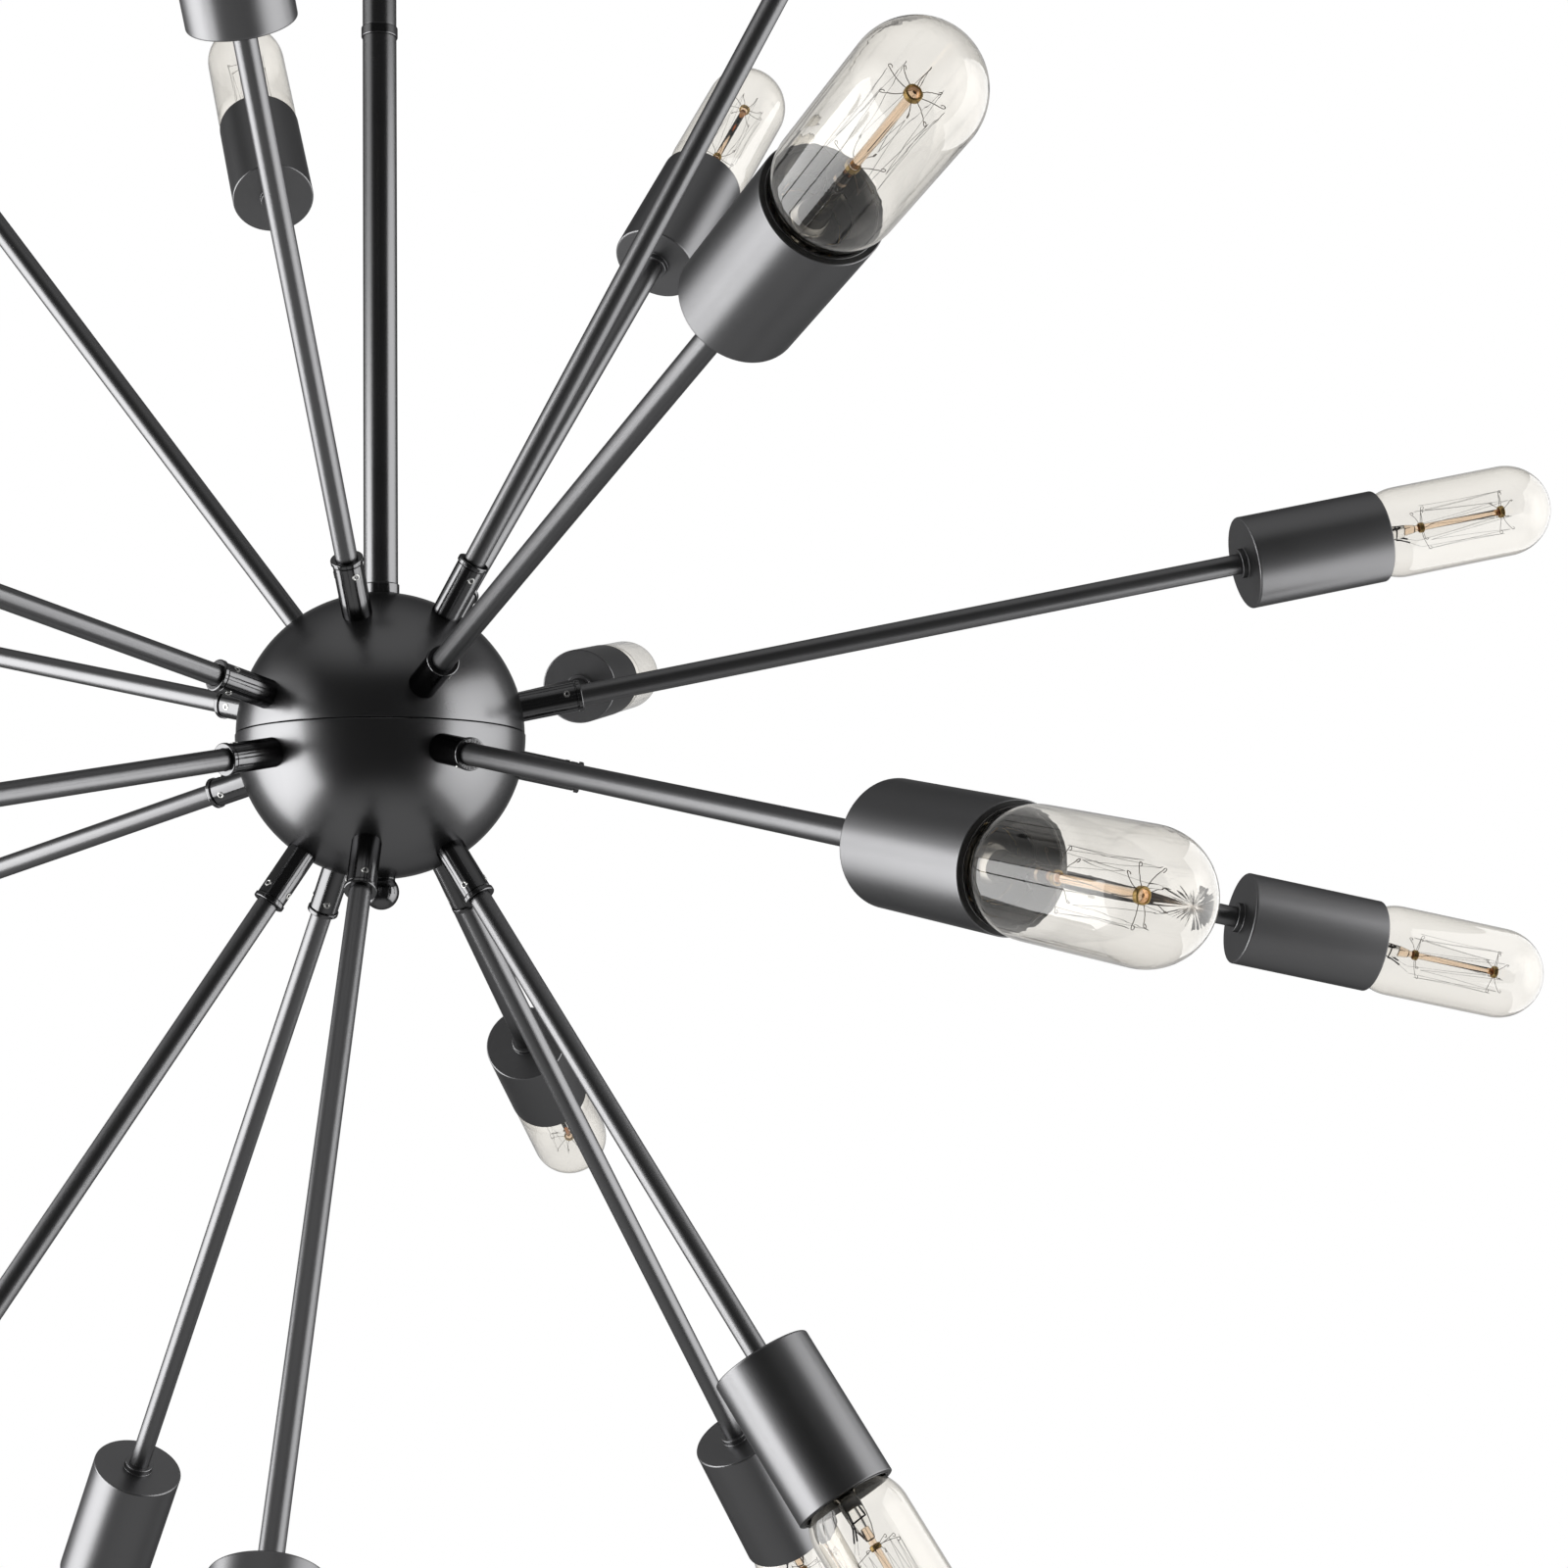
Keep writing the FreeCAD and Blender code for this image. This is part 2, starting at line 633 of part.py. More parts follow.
def bulb_outline(reach, inset):
    """Points of the bulb's outline, moved inwards by an inset: both ends of the neck, the middle
    and the end of the shoulder's arc, the foot of the dome, its middle and its tip."""
    radius = BULB_D / 2 - inset
    neck = BULB_NECK_D / 2 - inset
    arc_r = BULB_SHOULDER_R - inset
    rim = reach + CUP_LENGTH
    shoulder = rim + BULB_SHOULDER
    dome = rim + BULB_SHOWS - BULB_D / 2
    # the shoulder's arc is tangent to the straight body and turns in until it meets the neck
    centre_r = BULB_D / 2 - BULB_SHOULDER_R
    turn = math.acos((neck - centre_r) / arc_r)
    bend = math.sqrt(0.5)
    return (
        (neck, bulb_foot(reach) + CAP_LENGTH),
        (neck, shoulder - arc_r * math.sin(turn)),
        (centre_r + arc_r * math.cos(turn / 2), shoulder - arc_r * math.sin(turn / 2)),
        (radius, shoulder),
        (radius, dome),
        (radius * bend, dome + radius * bend),
        (0, dome + radius),
    )


def bulb_glass(reach):
    """Thin tubular glass: a straight neck on the cap, a rounded shoulder, a straight body and a
    hemispherical tip."""
    foot, neck, arc, shoulder, dome, dome_arc, tip = bulb_outline(reach, 0)
    in_foot, in_neck, in_arc, in_shoulder, in_dome, in_dome_arc, in_tip = bulb_outline(
        reach, BULB_WALL
    )
    return turned(
        foot,
        neck,
        (arc, shoulder),
        dome,
        (dome_arc, tip),
        in_tip,
        (in_dome_arc, in_dome),
        in_shoulder,
        (in_arc, in_neck),
        in_foot,
    )


def bulb_stem(reach):
    """Flared glass stem on the cap, and the thin rod above it that holds the filament's hooks."""
    foot = bulb_foot(reach) + CAP_LENGTH
    tip = reach + CUP_LENGTH + BULB_SHOWS
    stem = STEM_D / 2
    rod = STEM_ROD_D / 2
    return turned(
        (0, foot),
        (STEM_FOOT_D / 2, foot),
        (stem, foot + STEM_FLARE_HEIGHT),
        (stem, foot + STEM_HEIGHT - stem),
        (rod, foot + STEM_HEIGHT),
        (rod, tip - STEM_ROD_END),
        (0, tip - STEM_ROD_END),
    )


PIECES = {
    "crossbar": crossbar,
    "canopy": canopy,
    "canopy_studs": canopy_studs,
    "canopy_cap_nuts": canopy_cap_nuts,
    "canopy_hub": canopy_hub,
    "hub_ring_nut": hub_ring_nut,
    "swivel_fork": swivel_fork,
    "swivel_nut": swivel_nut,
    "swivel_pin": swivel_pin,
    "swivel_tongue": swivel_tongue,
    "rod_upper": rod_upper,
    "rod_coupling": rod_coupling,
    "rod_lower": rod_lower,
    "neck_ring": neck_ring,
    "globe_upper": globe_upper,
    "globe_lower": globe_lower,
    "tie_rod": tie_rod,
    "tie_nut": tie_nut,
    "bottom_finial": bottom_finial,
}
ARM_PIECES = {
    "collars": collar,
    "arm_tubes": arm_tube,
    "lamp_cups": lamp_cup,
    "sockets": socket,
    "screw_caps": screw_cap,
    "bulbs": bulb_glass,
    "bulb_stems": bulb_stem,
}

os.makedirs("parts", exist_ok=True)
solids = {name: make() for name, make in PIECES.items()}
for ring, arms in RINGS.items():
    for name, make in ARM_PIECES.items():
        solids[ring + "_" + name] = on_arms(make, arms)
for name, shape in solids.items():
    shape.exportStep(os.path.join("parts", name + ".step"))
    print(name, "solids", len(shape.Solids), "valid", shape.isValid())
print("globe centre", round(GLOBE_Z, 2), "tilt pin", round(PIN_Z, 2))
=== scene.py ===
# %% [markdown]
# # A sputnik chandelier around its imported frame
# The lamp is a hollow black globe on a rod. Twenty tubes stand out of it in all directions, and
# each ends in a deep cup with a long tubular filament bulb. The construction is fixed and comes
# from the frame. This script gives every visible piece its real surface and finish.

# %% Load the frame
import math

import bmesh
import bpy
import numpy as np
from mathutils import Matrix, Vector


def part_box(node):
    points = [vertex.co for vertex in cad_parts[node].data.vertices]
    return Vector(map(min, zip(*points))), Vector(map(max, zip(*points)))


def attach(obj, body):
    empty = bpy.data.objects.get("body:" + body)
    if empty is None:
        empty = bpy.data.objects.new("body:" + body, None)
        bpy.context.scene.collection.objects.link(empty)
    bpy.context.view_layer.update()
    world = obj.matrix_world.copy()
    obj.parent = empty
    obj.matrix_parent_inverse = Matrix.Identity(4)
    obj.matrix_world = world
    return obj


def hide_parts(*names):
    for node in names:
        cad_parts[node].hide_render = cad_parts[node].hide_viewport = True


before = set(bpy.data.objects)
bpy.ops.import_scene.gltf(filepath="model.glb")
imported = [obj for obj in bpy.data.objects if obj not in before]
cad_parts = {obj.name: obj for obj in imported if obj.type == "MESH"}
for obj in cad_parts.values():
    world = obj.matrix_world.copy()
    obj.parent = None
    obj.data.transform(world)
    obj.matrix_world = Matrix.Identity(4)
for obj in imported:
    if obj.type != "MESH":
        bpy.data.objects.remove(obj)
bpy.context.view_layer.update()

# %% [markdown]
# ## Sizes
# Blender works in metres. A lamp maker thinks in millimetres, so sizes are written in those and
# multiplied by MM once, where a piece is made. Heights and widths of the pieces on the rod are
# read from the frame. The arms are drawn along +Z and then turned, so they need their own sizes.

# %% Sizes of one arm, in millimetres along it from the middle of the globe
MM = 0.001
GLOBE_R = 66.5
LONG_REACH = 424.0
SHORT_REACH = 341.0
COLLAR_R = 6.8
COLLAR_OUT = 28.5
COLLAR_IN = 3.0
COLLAR_LIP_R = 7.4
COLLAR_LIP = 2.2
TUBE_R = 5.0
TUBE_BORE_R = 4.0
SLEEVE_BORE_R = 5.05
CUP_R = 22.5
CUP_LENGTH = 68.5
CUP_WALL = 3.0
CUP_BASE = 2.0
CUP_EDGE = 0.8
CUP_NECK_R = 7.2
CUP_NECK = 3.0
BULB_R = 22.2
BULB_SHOWS = 89.0
BULB_WALL = 0.8
BULB_NECK_R = 13.5
BULB_NECK_FOOT = -14.0
BULB_SHOULDER = 12.0
BULB_SHOULDER_R = 21.0

# %% [markdown]
# ## Where the arms point
# Azimuth turns from +X towards +Y and elevation rises from level, in degrees. The arms sit in
# four rings of five, and each is a little off the regular place, as on the lamp itself. The last
# number is where the first of the two screws in its collar stands, round the arm. One arm has no
# collar and no screws: its tube goes straight into the globe.

# %% Directions of the arms
BARE_ARM = (171.7, 53.2, LONG_REACH, 0)
RINGS = {
    "upper": [
        (53.6, 52.6, SHORT_REACH, 90),
        (111.1, 52.1, LONG_REACH, 200),
        BARE_ARM,
        (263.7, 49.7, SHORT_REACH, -72),
        (324.0, 51.9, LONG_REACH, -24),
    ],
    "upper_middle": [
        (7.3, 11.4, LONG_REACH, 150),
        (81.3, 10.8, LONG_REACH, 30),
        (152.2, 13.6, LONG_REACH, 78),
        (226.7, 12.0, LONG_REACH, 18),
        (295.0, 13.5, LONG_REACH, 48),
    ],
    "lower_middle": [
        (10.5, -11.9, LONG_REACH, -172),
        (83.0, -23.9, SHORT_REACH, 10),
        (156.6, -13.4, LONG_REACH, 60),
        (230.6, -11.3, LONG_REACH, 178),
        (302.6, -11.4, LONG_REACH, -16),
    ],
    "lower": [
        (50.6, -54.5, LONG_REACH, 38),
        (130.2, -56.6, LONG_REACH, 26),
        (203.9, -55.9, LONG_REACH, 38),
        (268.4, -53.7, LONG_REACH, 160),
        (333.0, -55.3, SHORT_REACH, 160),
    ],
}
NECK_FOOT_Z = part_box("neck_ring")[0].z
NECK_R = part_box("neck_ring")[1].x
GLOBE_Z = NECK_FOOT_Z - math.sqrt((GLOBE_R * MM) ** 2 - NECK_R**2)
print("arms", sum(len(arms) for arms in RINGS.values()), "globe centre", round(GLOBE_Z, 5))

# %% [markdown]
# ## The camera
# The camera comes first, so that every later piece can be judged in the picture's own frame. It
# stands a little below the globe and to its right, looks slightly up and leans by one degree.

# %% Camera
LENS_MM = 66.4
SENSOR_MM = 36.0
CAMERA_FROM_GLOBE = Vector((186.8, -1334.0, -166.5)) * MM
CAMERA_PITCH = 0.105
CAMERA_ROLL = -0.017


def add_camera():
    """Camera whose axis is turned up from level by the pitch and then leaned about itself."""
    data = bpy.data.cameras.new("camera")
    data.lens = LENS_MM
    data.sensor_width = SENSOR_MM
    camera = bpy.data.objects.new("camera", data)
    bpy.context.scene.collection.objects.link(camera)
    place = Matrix.Translation(Vector((0, 0, GLOBE_Z)) + CAMERA_FROM_GLOBE)
    tilt = Matrix.Rotation(math.pi / 2 + CAMERA_PITCH, 4, "X")
    lean = Matrix.Rotation(CAMERA_ROLL, 4, "Z")
    camera.matrix_world = place @ tilt @ lean
    bpy.context.scene.camera = camera
    return camera


camera = add_camera()
print("camera at", [round(v, 3) for v in camera.location], "lens", camera.data.lens)

# %% [markdown]
# ## A lathe in numpy
# Nearly every piece of this lamp is turned, so its surface is one outline carried round an axis.
# The outline is given by its corners, and each corner may have a fillet: real edges are never
# perfectly sharp, and the small round catches the thin bright line that a real edge shows. Two
# extra points hold the smooth shading of the fillet away from the flat next to it.

# %% Outlines
FILLET_STEPS = 4
HOLD = 0.35


def fillet(before, corner, after, radius):
    """Points that round one corner. The arc's ends lie radius / tan(half the corner's angle) from
    the corner, and its centre lies radius / sin(half the angle) along the corner's bisector."""
    a = (before - corner) / np.linalg.norm(before - corner)
    b = (after - corner) / np.linalg.norm(after - corner)
    half = math.acos(max(-1.0, min(1.0, float(a @ b)))) / 2
    reach = radius / math.tan(half)
    centre = corner + (a + b) / np.linalg.norm(a + b) * radius / math.sin(half)
    start, end = corner + a * reach - centre, corner + b * reach - centre
    turn = math.atan2(start[0] * end[1] - start[1] * end[0], float(start @ end))
    angle = math.atan2(start[1], start[0]) + turn * np.linspace(0, 1, FILLET_STEPS + 1)
    arc = centre + radius * np.stack([np.cos(angle), np.sin(angle)], 1)
    hold = HOLD * radius
    return np.vstack([arc[:1] + a * hold, arc, arc[-1:] + b * hold])


def outline(*corners, closed=False):
    """Outline through corners of (radius, height) or (radius, height, fillet), or arrays of
    points that are taken as they are."""
    points = []
    fixed = [np.atleast_2d(np.array(c, float))[:, :2] for c in corners]
    for k, corner in enumerate(corners):
        if len(corner) == 3 and np.ndim(corner) == 1:
            before, after = fixed[k - 1][-1], fixed[(k + 1) % len(fixed)][0]
            points.append(fillet(before, fixed[k][0], after, corner[2]))
        else:
            points.append(fixed[k])
    points = np.vstack(points)
    return np.vstack([points, points[:1]]) if closed else points


def arc(centre, radius, start, end, steps):
    """Points on a circle: centre + radius (cos t, sin t), with t in degrees from start to end."""
    t = np.radians(np.linspace(start, end, steps + 1))
    return np.array(centre) + radius * np.stack([np.cos(t), np.sin(t)], 1)


print("fillet sample", outline((0, 0), (5, 0, 1), (5, 5)).shape)

# %% [markdown]
# ## Surfaces as arrays
# A surface is kept as three arrays: its points, its four-cornered faces and one map coordinate
# for each face corner. The map runs round the piece and along it in metres, so a brushed or drawn
# finish can follow the surface in whatever direction an arm points.

# %% Grids, turned surfaces and wires
def grid_faces(rows, columns):
    """Faces between neighbouring rows and columns of a grid of points, rows first."""
    first = np.arange(rows - 1)[:, None] * columns + np.arange(columns - 1)[None, :]
    return np.stack([first, first + 1, first + columns + 1, first + columns], -1).reshape(-1, 4)


def grid_surface(points, around, along):
    """Surface over a grid of points (rows, columns, 3), with map coordinates at its points."""
    rows, columns = points.shape[:2]
    faces = grid_faces(rows, columns)
    chart = np.stack(np.broadcast_arrays(around[None, :], along[:, None]), -1).reshape(-1, 2)
    return points.reshape(-1, 3), faces, chart[faces]


def turned(points, sides=64):
    """Turned surface: the point (r, h) of an outline goes to (r cos t, r sin t, h) for t from 0
    to a full turn. An outline that runs upwards on its outer side gives faces that look out."""
    t = np.linspace(0, 2 * math.pi, sides + 1)
    r, h = points[:, 0, None], points[:, 1, None]
    circle = np.stack([r * np.cos(t), r * np.sin(t), h + 0 * t], -1)
    step = np.linalg.norm(np.diff(points, axis=0), axis=1)
    along = np.concatenate([[0], np.cumsum(step)])
    return grid_surface(circle, t * float(points[:, 0].max()), along)


def wire(path, radius, sides=6):
    """Round wire: the path P(s) plus radius (cos t N(s) + sin t B(s)), with N and B square to the
    path. Both ends shrink to a point, so that the wire is closed."""
    path = np.array(path, float)
    tangent = np.gradient(path, axis=0)
    tangent /= np.linalg.norm(tangent, axis=1)[:, None]
    guide = np.eye(3)[np.argmin(np.abs(tangent).max(axis=0))]
    normal = np.cross(tangent, guide)
    normal /= np.linalg.norm(normal, axis=1)[:, None]
    binormal = np.cross(tangent, normal)
    path = np.vstack([path[:1], path, path[-1:]])
    normal = np.vstack([normal[:1], normal, normal[-1:]])
    binormal = np.vstack([binormal[:1], binormal, binormal[-1:]])
    size = np.full(len(path), radius)
    size[[0, -1]] = 0
    t = np.linspace(0, 2 * math.pi, sides + 1)
    ring = np.cos(t)[None, :, None] * normal[:, None] + np.sin(t)[None, :, None] * binormal[:, None]
    points = path[:, None] + size[:, None, None] * ring
    step = np.linalg.norm(np.diff(path, axis=0), axis=1)
    along = np.concatenate([[0], np.cumsum(step)])
    return grid_surface(points, t * radius, along)


def gather(surfaces):
    """Several surfaces as one: points stacked, and face numbers moved on by what came before."""
    points, faces, charts = zip(*surfaces)
    before = np.cumsum([0] + [len(p) for p in points[:-1]])
    faces = [f + start for f, start in zip(faces, before)]
    return np.vstack(points), np.vstack(faces), np.vstack(charts)


def moved(surface, turn=None, shift=(0, 0, 0)):
    """The surface with every point turned by a 3 by 3 matrix and then shifted."""
    points, faces, charts = surface
    turn = np.eye(3) if turn is None else np.array(turn)
    return points @ turn.T + np.array(shift, float), faces, charts


def spun(angle):
    """Turn about +Z by an angle in radians."""
    return np.array(Matrix.Rotation(angle, 3, "Z"))


# %% [markdown]
# ## From arrays to a piece
# Rows that meet on the axis are merged to one point there, and the seam of the full turn is
# merged too, so the mesh is closed. Edges sharper than the limit stay crisp and all others are
# shaded smooth. Each piece then rides on a body, and the frame nodes it stands for are hidden.

# %% Pieces
MERGE = 1e-7
CRISP = math.radians(38)


def piece(name, surface, material, body="pendant", stands_for=()):
    """A mesh object at the origin from a surface in millimetres along the lamp's own axes."""
    points, faces, charts = surface
    mesh = bpy.data.meshes.new(name)
    mesh.from_pydata((points * MM).tolist(), [], faces.tolist())
    chart = mesh.uv_layers.new(name="along")
    chart.data.foreach_set("uv", (charts.reshape(-1, 2) * MM).ravel())
    shape = bmesh.new()
    shape.from_mesh(mesh)
    bmesh.ops.remove_doubles(shape, verts=shape.verts, dist=MERGE)
    shape.to_mesh(mesh)
    shape.free()
    mesh.shade_smooth()
    mesh.set_sharp_from_angle(angle=CRISP)
    mesh.materials.append(material)
    made = bpy.data.objects.new(name, mesh)
    bpy.context.scene.collection.objects.link(made)
    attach(made, body)
    if stands_for:
        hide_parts(*stands_for)
    return made


def tris(made):
    """Number of triangles that a piece's faces give."""
    return sum(len(p.vertices) - 2 for p in made.data.polygons)


# %% [markdown]
# ## Finishes
# All metal on this lamp is dark, so what one sees is its reflections. A node tree for each finish
# sets how dark the metal is and how blurred it mirrors, and a fine noise lifts the surface by a
# few thousandths of a millimetre, as sprayed or plated metal has. Specular tint on a metal sets
# how it mirrors at a grazing angle: dark there, which gives the tubes their thin black outlines.
# Globe and rod are satin, tubes and cups are softer, and the small turned fittings are glossy.

# %% Node helpers
def new_tree(name):
    """A material with nodes and nothing but its output."""
    material = bpy.data.materials.new(name)
    material.use_nodes = True
    tree = material.node_tree
    tree.nodes.clear()
    return material, tree


def node(tree, kind, settings=None, **sockets):
    """A node of a kind, with its settings and the plain values of its sockets."""
    made = tree.nodes.new(kind)
    for key, value in (settings or {}).items():
        setattr(made, key, value)
    for key, value in sockets.items():
        made.inputs[key.replace("_", " ")].default_value = value
    return made


def join(tree, source, target):
    """A link between two sockets."""
    tree.links.new(source, target)


def stretched_noise(tree, source, stretch, scale, detail=3.0):
    """Noise over coordinates that are first multiplied by a stretch for each axis."""
    mapping = node(tree, "ShaderNodeMapping")
    mapping.inputs["Scale"].default_value = stretch
    join(tree, source, mapping.inputs["Vector"])
    noise = node(tree, "ShaderNodeTexNoise", Scale=scale, Detail=detail)
    join(tree, mapping.outputs["Vector"], noise.inputs["Vector"])
    return noise


def ramp(tree, source, low, high):
    """The source's range from 0 to 1 mapped to low to high."""
    made = node(tree, "ShaderNodeMapRange")
    made.inputs["To Min"].default_value = low
    made.inputs["To Max"].default_value = high
    join(tree, source, made.inputs["Value"])
    return made.outputs["Result"]


def math_node(tree, kind, first, second):
    """A sum, product or other pairing of two sockets or numbers."""
    made = node(tree, "ShaderNodeMath", {"operation": kind})
    for k, value in enumerate((first, second)):
        if isinstance(value, float):
            made.inputs[k].default_value = value
        else:
            join(tree, value, made.inputs[k])
    return made.outputs["Value"]


def fade(tree, value, low, high):
    """Smooth rise from 0 to 1 as the value goes from low to high."""
    made = node(tree, "ShaderNodeMapRange", {"interpolation_type": "SMOOTHSTEP"})
    made.inputs["From Min"].default_value = low
    made.inputs["From Max"].default_value = high
    join(tree, value, made.inputs["Value"])
    return made.outputs["Result"]


def pick(tree, choice, no, yes):
    """Mix from no to yes as the choice goes from 0 to 1."""
    made = node(tree, "ShaderNodeMix", {"data_type": "FLOAT"})
    join(tree, choice, made.inputs["Factor"])
    for socket, value in (("A", no), ("B", yes)):
        if isinstance(value, float):
            made.inputs[socket].default_value = value
        else:
            join(tree, value, made.inputs[socket])
    return made.outputs["Result"]


# %% Dark metal
def dark_metal(name, grey, rough, rough_spread, grain, grain_height, streaks=0.0, edge=0.25):
    """Dark satin metal. Cloudy noise moves the roughness within its spread, fine noise gives the
    sprayed grain, and streaks are long marks that run along a piece on its own map."""
    material, tree = new_tree(name)
    out = node(tree, "ShaderNodeOutputMaterial")
    shader = node(tree, "ShaderNodeBsdfPrincipled", Metallic=1.0)
    shader.inputs["Base Color"].default_value = (grey, grey, grey * 1.02, 1)
    shader.inputs["Specular Tint"].default_value = (edge, edge, edge, 1)
    place = node(tree, "ShaderNodeTexCoord")
    clouds = stretched_noise(tree, place.outputs["Object"], (1, 1, 1), 45.0)
    fine = stretched_noise(tree, place.outputs["Object"], (1, 1, 1), grain)
    level = ramp(tree, clouds.outputs["Fac"], rough - rough_spread, rough + rough_spread)
    join(tree, level, shader.inputs["Roughness"])
    bump = node(tree, "ShaderNodeBump", Strength=1.0, Distance=grain_height)
    join(tree, fine.outputs["Fac"], bump.inputs["Height"])
    if streaks:
        lines = stretched_noise(tree, place.outputs["UV"], (1, 0.06, 1), 900.0)
        drawn = node(tree, "ShaderNodeBump", Strength=1.0, Distance=streaks)
        join(tree, lines.outputs["Fac"], drawn.inputs["Height"])
        join(tree, bump.outputs["Normal"], drawn.inputs["Normal"])
        bump = drawn
    join(tree, bump.outputs["Normal"], shader.inputs["Normal"])
    join(tree, shader.outputs["BSDF"], out.inputs["Surface"])
    return material


SATIN = dark_metal("satin_black_metal", 0.19, 0.26, 0.03, 1500.0, 0.000005)
GLOSS = dark_metal("gloss_black_metal", 0.16, 0.14, 0.03, 1200.0, 0.000004, streaks=0.00005)
SOFT = dark_metal("soft_black_metal", 0.20, 0.34, 0.03, 1500.0, 0.000004)
print("metals", [m.name for m in (SATIN, GLOSS, SOFT)])

# %% [markdown]
# ## Plated steel, brass and moulded sockets
# The hidden hardware is bright zinc, the bulbs' screw caps are brass-coloured and the sockets are
# a black moulding. They show only in slits and from above, but they still get a real finish. The
# wires inside the bulbs are dark metals with almost no grain.

# %% Other opaque finishes
def plain_finish(name, colour, metallic, rough, grain, grain_height):
    """One colour with slightly cloudy roughness and a fine grain."""
    material, tree = new_tree(name)
    out = node(tree, "ShaderNodeOutputMaterial")
    shader = node(tree, "ShaderNodeBsdfPrincipled", Metallic=metallic)
    place = node(tree, "ShaderNodeTexCoord")
    clouds = stretched_noise(tree, place.outputs["Object"], (1, 1, 1), 160.0)
    fine = stretched_noise(tree, place.outputs["Object"], (1, 1, 1), grain)
    tone = node(tree, "ShaderNodeMix", {"data_type": "RGBA"})
    tone.inputs["A"].default_value = (*[c * 0.9 for c in colour], 1)
    tone.inputs["B"].default_value = (*colour, 1)
    join(tree, clouds.outputs["Fac"], tone.inputs["Factor"])
    join(tree, tone.outputs["Result"], shader.inputs["Base Color"])
    join(tree, ramp(tree, clouds.outputs["Fac"], rough * 0.8, rough * 1.2), shader.inputs["Roughness"])
    bump = node(tree, "ShaderNodeBump", Strength=1.0, Distance=grain_height)
    join(tree, fine.outputs["Fac"], bump.inputs["Height"])
    join(tree, bump.outputs["Normal"], shader.inputs["Normal"])
    join(tree, shader.outputs["BSDF"], out.inputs["Surface"])
    return material


ZINC = plain_finish("zinc_plate", (0.62, 0.62, 0.60), 1.0, 0.32, 900.0, 0.00001)
BRASS = plain_finish("brass_cap", (0.72, 0.50, 0.20), 1.0, 0.28, 900.0, 0.00001)
MOULDING = plain_finish("socket_moulding", (0.02, 0.02, 0.02), 0.0, 0.45, 700.0, 0.00001)
# Near-black matt for the sheets that paint shade into the cups' mouths, and for the cement discs.
MOUTH_BLACK = plain_finish("mouth_matt_black", (0.008, 0.008, 0.008), 0.0, 0.55, 900.0, 0.000006)
HOOK_WIRE = plain_finish("hook_wire", (0.12, 0.09, 0.06), 1.0, 0.40, 900.0, 0.000002)
LEAD_WIRE = plain_finish("lead_wire", (0.10, 0.10, 0.11), 1.0, 0.35, 900.0, 0.000002)
TUNGSTEN = plain_finish("filament_wire", (0.16, 0.15, 0.14), 1.0, 0.45, 900.0, 0.000002)

# %% [markdown]
# ## Glass
# The bulbs are thin glass with a faint amber tint. The mesh has a real wall with an inner and an
# outer face, so light bends and mirrors at all four faces that a line of sight passes. The tint is
# an absorption inside the wall and not a colour on its surface: a slanting line of sight runs
# through more glass, so the bulb grows darker and warmer towards its edges, as a real one does.
# Drawn glass has faint lines along the tube, which pull its reflections into streaks.

# %% Glass finishes
def glass(name, colour, density, index, rough, lines=0.0):
    """Clear glass. Colour and density set what the wall absorbs for each metre of it, index how
    much it bends, and lines is the height of the waves that run along the drawn tube."""
    material, tree = new_tree(name)
    out = node(tree, "ShaderNodeOutputMaterial")
    shader = node(tree, "ShaderNodeBsdfPrincipled", IOR=index, Roughness=rough)
    shader.inputs["Transmission Weight"].default_value = 1.0
    shader.inputs["Base Color"].default_value = (1, 1, 1, 1)
    place = node(tree, "ShaderNodeTexCoord")
    clouds = stretched_noise(tree, place.outputs["Object"], (1, 1, 1), 30.0)
    bump = node(tree, "ShaderNodeBump", Strength=0.3, Distance=0.0001)
    join(tree, clouds.outputs["Fac"], bump.inputs["Height"])
    if lines:
        drawn = stretched_noise(tree, place.outputs["UV"], (1, 0.04, 1), 260.0, detail=1.0)
        waves = node(tree, "ShaderNodeBump", Strength=1.0, Distance=lines)
        join(tree, drawn.outputs["Fac"], waves.inputs["Height"])
        join(tree, bump.outputs["Normal"], waves.inputs["Normal"])
        bump = waves
    join(tree, bump.outputs["Normal"], shader.inputs["Normal"])
    join(tree, shader.outputs["BSDF"], out.inputs["Surface"])
    inside = node(tree, "ShaderNodeVolumeAbsorption", Density=density)
    inside.inputs["Color"].default_value = (*colour, 1)
    join(tree, inside.outputs["Volume"], out.inputs["Volume"])
    return material


BULB_GLASS = glass("bulb_glass", (0.93, 0.86, 0.72), 260.0, 1.54, 0.0, lines=0.00003)
STEM_GLASS = glass("stem_glass", (0.98, 0.94, 0.86), 60.0, 1.5, 0.02)
AMBER_ROD = glass("amber_rod", (0.97, 0.66, 0.30), 230.0, 1.5, 0.03)
print("glasses", [m.name for m in (BULB_GLASS, STEM_GLASS, AMBER_ROD)])

# %% [markdown]
# ## Turned pieces on the rod
# The rod is two tubes with a ring between them. Their heights come from the frame, and every
# edge gets a small fillet. The outlines run inwards below, up outside, inwards on top and down
# the bore, so that the faces look outwards.

# %% Rod, rings and hub
def node_sizes(name):
    """Lowest height, highest height and outer radius of a node, in millimetres."""
    low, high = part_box(name)
    return low.z / MM, high.z / MM, (high.x - low.x) / 2 / MM


def turned_piece(name, points, material, stands_for, body="pendant", sides=64):
    """A turned piece on the lamp's own axis."""
    return piece(name, turned(points, sides), material, body, (stands_for,))


ROD_BORE_R = 6.7
for name in ("rod_upper", "rod_lower"):
    low, high, radius = node_sizes(name)
    shape = outline(
        (ROD_BORE_R, low), (radius, low, 0.25), (radius, high, 0.25), (ROD_BORE_R, high), closed=True
    )
    made = turned_piece(name + "_tube", shape, SATIN, name)
    print(made.name, "faces", len(made.data.polygons))

